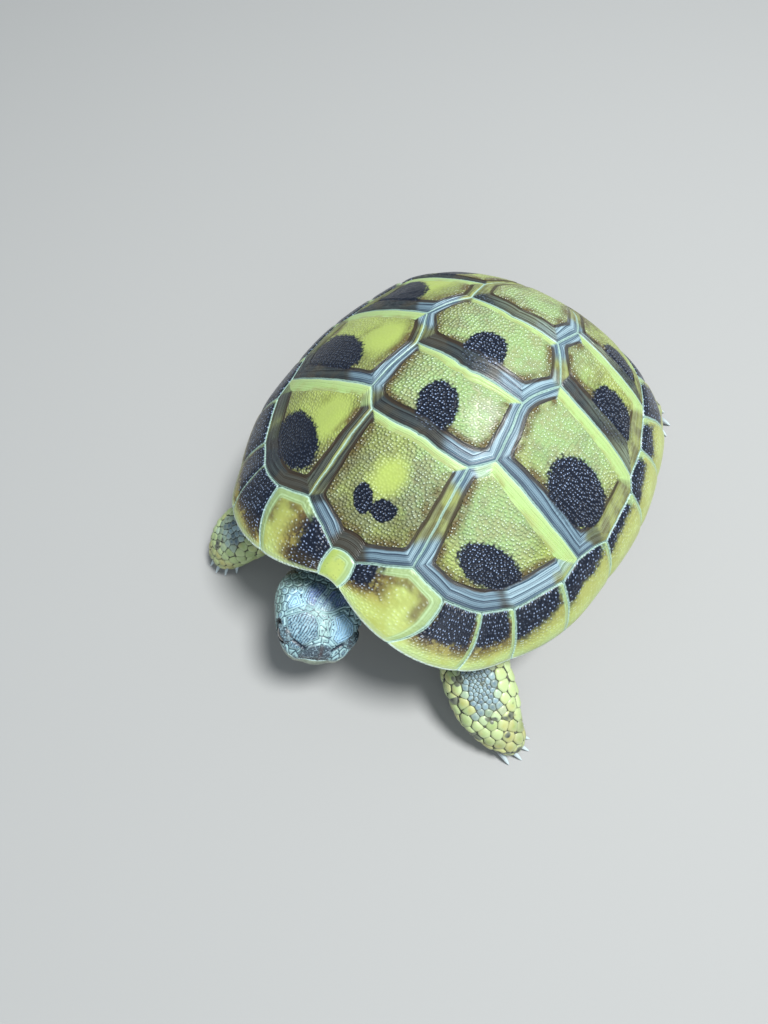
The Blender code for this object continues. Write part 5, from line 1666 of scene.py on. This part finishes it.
def horn_material():
    """Horn of the shell's large plates."""
    n = Nodes("carapace_horn")
    seam, ring, blotch, light, front, rear = n.attributes("seam ring blotch light front rear")
    blue, dusk, pale, calm, worn, ashen = n.attributes("blue dusk pale calm worn ashen")
    coarse, fine, patch = n.noise(1.7), n.noise(0.35, 2.0), n.noise(3.2, 2.0)
    tips, pits, dome_height = granules(n)
    ring_w = ring + (coarse - 0.5) * 0.30
    inside = n.ramp(ring_w, -0.06, 0.06)
    smooth_hump = n.ramp(light + coarse * 0.5, 0.10, 0.90)
    rough_share = (1.0 - smooth_hump * 0.85) * n.ramp(calm, 0.2, 0.9, 1.0, 0.45)
    # the hatchling plate: beaded, olive to yellow green
    base = n.fade(patch, 0.32, 0.56, OLIVE, YELLOW)
    base = n.mix(n.ramp(coarse, 0.45, 0.70) * 0.6, base, BRIGHT)
    # painted sky sheen: the horn paler in the pale zone
    painted_sheen_base = n.fade(coarse, 0.35, 0.6, (0.32, 0.40, 0.21), (0.31, 0.50, 0.23))
    base = n.mix(pale * 0.7, base, painted_sheen_base)
    # partly painted shade: the old plate darker in the dusky zone
    base = n.mix(dusk * 0.55, base, (0.14, 0.15, 0.06))
    base = n.mix(ashen * n.ramp(coarse, 0.30, 0.65, 0.75, 0.35), base, (0.19, 0.21, 0.12))
    base = n.mix(smooth_hump, base, n.mix(coarse, BRIGHT, YELLOW))
    margin = n.ramp(ring, 1.5, 0.2) * n.ramp(rear, 0.55, 0.15)
    base = n.mix(margin * n.ramp(coarse, 0.30, 0.62), base, (0.115, 0.085, 0.03))
    # painted shade in the pits between the beads
    painted_pit_shade = n.mix(pale, (0.085, 0.075, 0.02), (0.17, 0.13, 0.06))
    base = n.mix(pits * rough_share * 0.36, base, painted_pit_shade)
    # painted glints on the bead tips: how strong, more in the pale zone and near the old plate's
    # edge
    painted_glint_share = n.ramp(patch + pale * 0.30, 0.34, 0.78, 0.15, 0.9)
    painted_glint_share = n.larger(painted_glint_share, n.ramp(ring, 0.75, 0.15, 0.0, 0.9))
    painted_glint_share = painted_glint_share * n.ramp(fine, 0.25, 0.60, 0.35, 1.0)
    base = n.mix(tips * rough_share * painted_glint_share, base, PAINTED_GLINT)
    # the growth: a dark band next to the old plate, then rings, by the way it faces
    broad, thin = n.lines(seam, patch, 0.28), n.lines(seam, patch, 0.11)
    streak = n.ramp(n.mix(0.45, broad, thin), 0.38, 0.64)
    # bluish growth with pale ring lines, partly the horn's colour and partly a painted sky
    # reflection
    cold_and_sky_sheen = n.ramp(blue + (patch - 0.5) * 0.8, 0.15, 0.75)
    warm = n.fade(coarse, 0.35, 0.65, (0.12, 0.11, 0.040), (0.27, 0.30, 0.085))
    warm = n.mix(streak * 0.35, warm, (0.34, 0.40, 0.24))
    # partly painted shade: dark growth for the dusky zone
    dim = n.mix(streak * 0.6, (0.030, 0.032, 0.028), (0.13, 0.15, 0.12))
    warm = n.mix(dusk * n.ramp(seam, 0.2, 0.45), warm, dim)
    side = n.mix(cold_and_sky_sheen, warm, n.mix(streak, SLATE, PALE_RING_SHEEN))
    dark = n.mix(streak * 0.45, (0.016, 0.018, 0.020), (0.10, 0.13, 0.13))
    dark = n.mix(n.ramp(patch, 0.45, 0.60) * 0.4, dark, (0.09, 0.07, 0.04))
    # blue lines in the front growth, partly a painted sky reflection
    dark = n.mix(cold_and_sky_sheen, dark, n.mix(streak, (0.030, 0.050, 0.080), (0.20, 0.30, 0.36)))
    dark = n.mix(worn * 0.8, dark, n.mix(streak, (0.085, 0.09, 0.05), (0.24, 0.29, 0.20)))
    stripe = n.fade(coarse, 0.40, 0.75, (0.37, 0.53, 0.18), (0.38, 0.48, 0.16))
    smudge = n.ramp(ring, -0.75, -0.15) * n.ramp(coarse, 0.36, 0.58)
    stripe = n.mix(smudge * 0.45, stripe, OCHRE)
    stripe = n.mix(n.ramp(seam, 0.8, 0.1) * 0.6, stripe, (0.46, 0.60, 0.30))
    stripe = n.mix(streak * 0.22, stripe, (0.50, 0.62, 0.34))
    growth = n.fade(front, 0.15, 0.50, side, dark)
    growth = n.fade(rear, 0.25, 0.55, growth, stripe)
    band = n.ramp(ring_w, -0.55, -0.30) * n.ramp(rear, 0.45, 0.15)
    growth = n.mix(band * 0.90, growth, BROWN)
    colour = n.mix(inside, growth, base)
    # black blotches, ragged at the beads
    ragged = blotch + (fine - 0.5) * 0.34 + (coarse - 0.5) * 0.22 + pits * 0.07
    reach = n.ramp(ragged, -0.08, 0.08) * n.ramp(ring_w, -0.5, -0.2, 0.35, 1.0)
    # painted glints on the beads of the blotches, strongest in the pale zone
    ink_glint_share = n.larger(tips, n.ramp(dome_height, 0.55, 1.0, 0.0, 0.5))
    ink_glint_share = ink_glint_share * rough_share * n.ramp(pale, 0.1, 0.9, 0.55, 1.0)
    ink_glint_share = ink_glint_share * n.ramp(fine, 0.30, 0.62, 0.35, 1.0)
    colour = n.mix(reach, colour, n.mix(ink_glint_share, NAVY, PAINTED_INK_GLINT))
    colour = seam_lines(n, colour, seam, fine)
    rough = n.ramp(n.noise(0.5), 0.3, 0.7, 0.30, 0.44)
    normal = n.bump(n.mix(inside, thin * 0.5, dome_height * rough_share), 0.15)
    return n.done(colour, rough, normal, coat=0.14, specular=0.36, coat_rough=0.26)


def rim_material(name="marginal_horn", plain=False):
    """Horn of the rim's plates; plain is the nuchal's, with few beads and dark pits."""
    n = Nodes(name)
    seam, ring, spot_mm, burn, u, v = n.attributes("seam ring patch burn u v")
    coarse, fine, patch = n.noise(1.8), n.noise(0.35, 2.0), n.noise(3.6, 2.0)
    tips, pits, dome_height = granules(n, 0.38)
    rough_share = (n.ramp(coarse, 0.30, 0.60, 0.10, 0.12 if plain else 0.7)
                   * n.ramp(spot_mm, -2.8, -0.6, 0.5, 1.0))
    base = n.fade(coarse, 0.30, 0.70, (0.36, 0.40, 0.10), (0.44, 0.52, 0.15))
    base = n.mix(n.ramp(v, 0.60, 0.85) * n.ramp(patch, 0.35, 0.60), base, (0.42, 0.54, 0.20))
    if plain:
        base = n.fade(coarse, 0.35, 0.7, (0.34, 0.44, 0.11), (0.42, 0.50, 0.13))
        base = n.mix(tips * 0.5, base, (0.17, 0.20, 0.04))
    mottle = n.ramp(coarse + fine * 0.35, 0.50, 0.80)
    near_spot = n.ramp(spot_mm, -2.6, -0.4) * burn
    base = n.mix(near_spot * 0.8, base, n.mix(mottle, ORANGE, OCHRE))
    burnt = n.ramp(spot_mm, -1.9, -0.1) * n.ramp(mottle, 0.2, 0.6, 0.45, 1.0)
    base = n.mix(burnt * burn, base, (0.065, 0.045, 0.022))
    arc = (n.ramp(ring, 0.75, 0.20) * n.ramp(v, 0.60, 0.40)
           * n.ramp(coarse, 0.30, 0.60, 0.25, 1.0))
    base = n.mix(arc * (burn * 0.8), base, (0.10, 0.065, 0.025))
    # painted shade, ochre, in the pits between the beads
    base = n.mix(pits * rough_share * 0.30, base, OCHRE)
    # painted glints on the bead tips
    base = n.mix(tips * rough_share * 0.75, base, PAINTED_GLINT)
    broad = n.lines(seam, patch, 0.22)
    growth = n.ramp(ring, -0.05, -0.25)
    rear_strip = growth * n.ramp(u, 0.70, 0.86)
    green = n.fade(broad, 0.38, 0.62, (0.27, 0.37, 0.15), (0.38, 0.52, 0.26))
    base = n.mix(rear_strip * 0.85, base, green)
    inner_strip = growth * n.ramp(v, 0.45, 0.30) * n.ramp(u, 0.2, 0.5)
    base = n.mix(inner_strip * 0.9, base, green)
    spot = n.ramp(spot_mm + (fine - 0.5) + (coarse - 0.5) * 1.8, -0.65, 0.40)
    deep = n.fade(v, 0.75, 0.45, (0.030, 0.022, 0.012), NAVY)
    # painted glints on the beads of the black patches
    colour = n.mix(spot, base, n.mix(tips * 0.75, deep, PAINTED_INK_GLINT))
    edge = n.ramp(v + fine * 0.05, 0.90, 0.96)
    colour = n.mix(edge * 0.7, colour, (0.36, 0.44, 0.22))
    # painted highlight along the rim's outer edge
    hem = (n.ramp(v, 0.955, 0.985) * n.ramp(v, 1.07, 1.03)
           * n.ramp(fine, 0.30, 0.55, 0.4, 0.95))
    colour = n.mix(hem, colour, (0.56, 0.66, 0.60))
    under = n.fade(u + patch * 0.5, 0.62, 0.74, (0.05, 0.042, 0.03), (0.44, 0.40, 0.15))
    colour = n.fade(v, 1.06, 1.18, colour, under)
    colour = seam_lines(n, colour, seam, fine)
    rough = n.ramp(n.noise(0.5), 0.3, 0.7, 0.30, 0.44)
    normal = n.bump(dome_height * rough_share, 0.09)
    return n.done(colour, rough, normal, coat=0.22, specular=0.4, coat_rough=0.26)


def belly_material():
    """Yellow horn of the underside with a dark band along each side."""
    n = Nodes("plastron_horn")
    seam, ring = n.attributes("seam ring")
    coarse, patch = n.noise(2.0), n.noise(5.0, 2.0)
    out = abs(n.add("ShaderNodeSeparateXYZ", {0: n.place()}) - SHIFT[0] * MM)
    dark = n.ramp(abs(out - BELLY_BAND * MM) + (patch - 0.5) * 0.004, 0.0040, 0.0026)
    base = n.fade(coarse, 0.3, 0.7, (0.50, 0.42, 0.13), (0.62, 0.56, 0.22))
    colour = n.mix(dark * n.ramp(seam, 0.1, 0.5), base, (0.03, 0.026, 0.022))
    colour = n.fade(seam, 0.24, 0.10, colour, (0.50, 0.46, 0.24))
    lines = n.sine(seam * (2 * math.pi / 0.3)) * n.ramp(ring, 0.0, -0.15)
    return n.done(colour, 0.42, n.bump(lines, 0.02), coat=0.1)


def skin_material():
    """The dark grained skin between the scales."""
    n = Nodes("bare_skin")
    coarse = n.noise(2.2)
    grain = n.cells(0.42)
    colour = n.fade(coarse, 0.3, 0.7, (0.045, 0.050, 0.040), (0.13, 0.13, 0.085))
    colour = n.mix(n.ramp(grain, 0.5, 0.1) * 0.5, colour, (0.22, 0.23, 0.17))
    return n.done(colour, 0.6, n.bump(n.ramp(grain, 0.6, 0.05), 0.08))


def scale_material():
    """Yellow green scales, steel blue where they are small."""
    n = Nodes("leg_scales")
    edge, tone, blue, along = n.attributes("edge tone blue along")
    patch = n.noise(2.6, 2.0)
    big = n.mix(tone, (0.34, 0.45, 0.16), (0.50, 0.62, 0.28))
    lower = n.mix(tone, (0.19, 0.22, 0.08), (0.35, 0.40, 0.15))
    big = n.mix(n.ramp(along, 0.52, 0.72, 0.0, 0.85), big, lower)
    big = n.mix(n.ramp(patch, 0.45, 0.65) * 0.5, big, (0.50, 0.42, 0.12))
    colour = n.mix(blue, big, n.mix(tone, (0.05, 0.10, 0.17), (0.27, 0.41, 0.48)))
    dark = n.ramp(n.noise(1.9, 1.0) + tone * 0.10, 0.675, 0.72)
    colour = n.mix(dark, colour, (0.03, 0.035, 0.035))
    colour = n.mix(n.ramp(edge, 0.0, 0.75) * 0.22, colour, (0.60, 0.66, 0.42))
    colour = n.fade(edge, 0.90, 1.04, colour, (0.035, 0.040, 0.035))
    return n.done(colour, 0.42, n.bump(n.noise(0.5, 2.0), 0.03), coat=0.15)


def claw_material():
    """Claws, dark at the root and pale at the tip."""
    n = Nodes("claw_horn")
    fine = n.noise(0.6)
    colour = n.fade(n.attribute("along"), 0.1, 0.9, (0.16, 0.19, 0.21), (0.62, 0.72, 0.74))
    colour = n.mix(fine * 0.3, colour, (0.25, 0.27, 0.24))
    return n.done(colour, 0.28, n.bump(fine, 0.02), coat=0.3)


def head_material():
    """The crown's blue shields with dark streaks; the face, darker lower down partly as painted
    shade; the nose, with painted shade on its front; the beak; and painted shade in the grooves,
    nostrils, mouth line and sockets.
    """
    n = Nodes("head_horn")
    depth, beak, mouth, socket, brow, nostril = n.attributes("depth beak mouth socket brow nostril")
    violet, green, sky, ridge, stria, cell = n.attributes("violet green sky ridge stria cell")
    t, out, high = n.attributes("t out high")
    coarse, fine, patch = n.noise(0.9), n.noise(0.16), n.noise(2.4, 2.0)
    ink = (0.014, 0.034, 0.064)
    base = n.fade(coarse, 0.32, 0.68, (0.12, 0.24, 0.31), (0.29, 0.47, 0.56))
    base = n.mix(violet * n.ramp(coarse, 0.25, 0.6), base, (0.16, 0.24, 0.52))
    # painted highlight where the sky spots lie
    base = n.mix(sky * n.ramp(coarse, 0.2, 0.6, 0.65, 1.0), base, (0.39, 0.69, 0.94))
    worn = n.fade(coarse, 0.3, 0.7, (0.24, 0.38, 0.36), (0.42, 0.58, 0.52))
    base = n.mix(ridge * 0.75, base, worn)
    base = n.mix(green * 0.8, base, n.mix(cell, (0.07, 0.11, 0.08), (0.24, 0.34, 0.25)))
    # dark streaks across the shields, and rings that follow their edges
    across = out * STREAK_OUT + t * STREAK_AHEAD + patch * 0.9 + coarse * 0.22
    broken = n.sine(across * (2 * math.pi / STREAK)) + (n.noise(0.30, 2.0) - 0.5) * 3.4
    base = n.mix(n.ramp(broken, -0.2, 0.9) * stria * 0.88, base, ink)
    rings = n.sine(depth * (2 * math.pi / 0.24) + coarse * 3.0)
    ring_share = n.ramp(rings, 0.0, 0.8) * n.ramp(depth, 0.9, 0.35, 0.0, 0.7)
    base = n.mix(ring_share, base, ink)
    dark = n.ramp(n.noise(0.26, 3.0, 0.6), 0.54, 0.64)
    base = n.mix(dark * n.ramp(sky, 0.2, 0.8, 0.45, 0.15), base, (0.03, 0.065, 0.10))
    streak = n.ramp(n.noise(0.22, 3.0, 0.6), 0.52, 0.62)
    base = n.mix(streak * 0.40, base, (0.55, 0.74, 0.78))
    pale_edge = n.ramp(depth, 0.03, 0.09) * n.ramp(depth, 0.24, 0.14)
    rim_tone = n.mix(green, (0.37, 0.56, 0.54), (0.24, 0.38, 0.36))
    base = n.mix(pale_edge * 0.64, base, rim_tone)
    groove = n.ramp(depth, 0.065, 0.01)
    base = n.mix(groove * 0.85, base, (0.02, 0.045, 0.06))
    # the face below the crown, darker partly as painted shade, the nose with painted shade on its
    # front, and the beak
    below = n.ramp(high, 0.6, -0.6)
    side = n.mix(cell, (0.07, 0.085, 0.070), (0.24, 0.27, 0.19))
    side = n.mix(groove, side, (0.02, 0.025, 0.02))
    # partly painted shade: the head darker lower down
    base = n.mix(below, base, side)
    # partly painted shade: the snout's front face painted dark
    nose = n.ramp(t, 2.35, 2.8) * n.ramp(abs(out + 0.3), 1.9, 1.5)
    nose = nose * n.ramp(high, -0.6, 0.0)
    base = n.mix(nose * 0.85, base, n.mix(streak, (0.022, 0.030, 0.042), (0.20, 0.27, 0.32)))
    middle = n.ramp(abs(out - 0.35), 0.35, 0.05) * nose
    base = n.mix(middle * 0.55, base, (0.060, 0.028, 0.030))
    beak_colour = n.fade(coarse, 0.3, 0.7, (0.16, 0.20, 0.15), (0.34, 0.40, 0.30))
    base = n.mix(beak * 0.85, base, beak_colour)
    above = n.ramp(high, MOUTH_Z + 0.3, MOUTH_Z + 0.8) * n.ramp(t, -1.5, -0.8)
    beak_edge = n.mix(above, beak_colour, (0.42, 0.56, 0.56))
    base = n.mix(n.ramp(beak, 0.2, 0.5) * n.ramp(beak, 0.85, 0.6), base, beak_edge)
    # painted shade in the grooves, the openings and the mouth line
    base = n.fade(brow, 0.22, 0.08, base, (0.008, 0.018, 0.035))
    base = n.fade(nostril, 0.24, 0.12, base, (0.006, 0.006, 0.006))
    base = n.mix(mouth, base, (0.015, 0.012, 0.010))
    base = n.fade(socket, 1.05, 0.9, base, (0.012, 0.010, 0.010))
    normal = n.bump(fine * 0.6 + n.ramp(broken, 0.9, -0.4) * (stria * 0.4), 0.06)
    return n.done(base, 0.42, normal, coat=0.2, coat_rough=0.3)


def eye_material():
    """A wet black eye with a trace of brown in the iris."""
    n = Nodes("eye_wet")
    iris = n.attribute("iris")
    colour = n.fade(iris, 0.36, 0.40, (0.002, 0.002, 0.002), (0.030, 0.018, 0.010))
    colour = n.fade(iris, 0.74, 0.82, colour, (0.008, 0.007, 0.007))
    return n.done(colour, 0.06, coat=1.0, coat_rough=0.02)


def lid_material():
    """Beaded grey blue lids with pale blue patches painted as highlights, dark along the opening.
    """
    n = Nodes("lids")
    edge = n.attribute("edge")
    grain = n.cells(0.24)
    colour = n.fade(grain, 0.55, 0.12, (0.030, 0.048, 0.062), (0.20, 0.32, 0.38))
    # painted highlights: pale blue patches on the lids
    colour = n.mix(n.ramp(n.noise(0.7), 0.5, 0.65) * 0.5, colour, (0.32, 0.46, 0.50))
    colour = n.fade(edge, 0.16, 0.02, colour, (0.012, 0.012, 0.012))
    return n.done(colour, 0.36, n.bump(n.ramp(grain, 0.6, 0.05), 0.03), coat=0.2)


# ---------------------------------------------------------------- the scene
def look_camera():
    """The eye stands above and in front, on the animal's left."""
    eye = np.array((19.323, -37.121, 84.232))
    ahead = np.array((-0.27154, 0.33915, -0.90069))
    right = np.array((0.80046, 0.59917, -0.01571))
    up = np.cross(right, ahead)
    camera = bpy.data.objects.new("camera", bpy.data.cameras.new("camera"))
    turn = np.eye(4)
    turn[:3, 0], turn[:3, 1], turn[:3, 2] = unit(right), unit(up), -unit(ahead)
    turn[:3, 3] = (eye + SHIFT) * MM
    camera.matrix_world = Matrix(turn.tolist())
    camera.data.sensor_width = 36.0
    camera.data.lens = 23.3
    camera.data.clip_start = 0.002
    camera.data.clip_end = 10.0
    bpy.context.scene.collection.objects.link(camera)
    bpy.context.scene.camera = camera


def add_light(name, place, target, size, watts, colour):
    """A round lamp at a place, turned to a target."""
    data = bpy.data.lights.new(name, "AREA")
    data.shape, data.size, data.energy, data.color = "DISK", size, watts, colour
    lamp = bpy.data.objects.new(name, data)
    lamp.location = place
    lamp.rotation_euler = (Vector(target) - Vector(place)).to_track_quat("-Z", "Y").to_euler()
    bpy.context.scene.collection.objects.link(lamp)


def make_studio():
    """The floor, the even sky and two lamps."""
    bpy.ops.mesh.primitive_plane_add(size=4.0, location=(0.0, 0.0, -0.00005))
    floor = bpy.context.object
    floor.name = "studio_floor"
    n = Nodes("studio_floor")
    floor.data.materials.append(n.done((0.38, 0.375, 0.365), 0.75, specular=0.2))
    world = bpy.data.worlds.new("studio")
    bpy.context.scene.world = world
    world.use_nodes = True
    background = world.node_tree.nodes["Background"]
    background.inputs[0].default_value = (0.76, 0.89, 1.0, 1.0)
    background.inputs[1].default_value = 0.34
    middle = (0.0, 0.0, 0.012)
    add_light("key", (0.12, 0.06, 0.45), middle, 0.13, 3.2, (0.96, 0.99, 1.0))
    add_light("fill", (0.30, -0.30, 0.30), middle, 0.40, 0.55, (0.88, 0.95, 1.0))


def main():
    """Builds the camera, the studio and every piece."""
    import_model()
    bpy.context.scene.view_settings.view_transform = "Standard"
    look_camera()
    make_studio()
    make_carapace(horn_material())
    make_rim(rim_material(), rim_material("nuchal_horn", plain=True))
    make_plastron(belly_material())
    make_skin(skin_material())
    scales, claws = scale_material(), claw_material()
    for name, limb in LIMBS.items():
        make_leg_coat(name, limb, scales)
        make_claws(name, limb, claws)
    make_tail_coat(scales)
    make_neck_coat(scales)
    make_head(head_material())
    wet, lids = eye_material(), lid_material()
    for side, word in ((1, "left"), (-1, "right")):
        make_eye(side, word, wet, lids)


main()
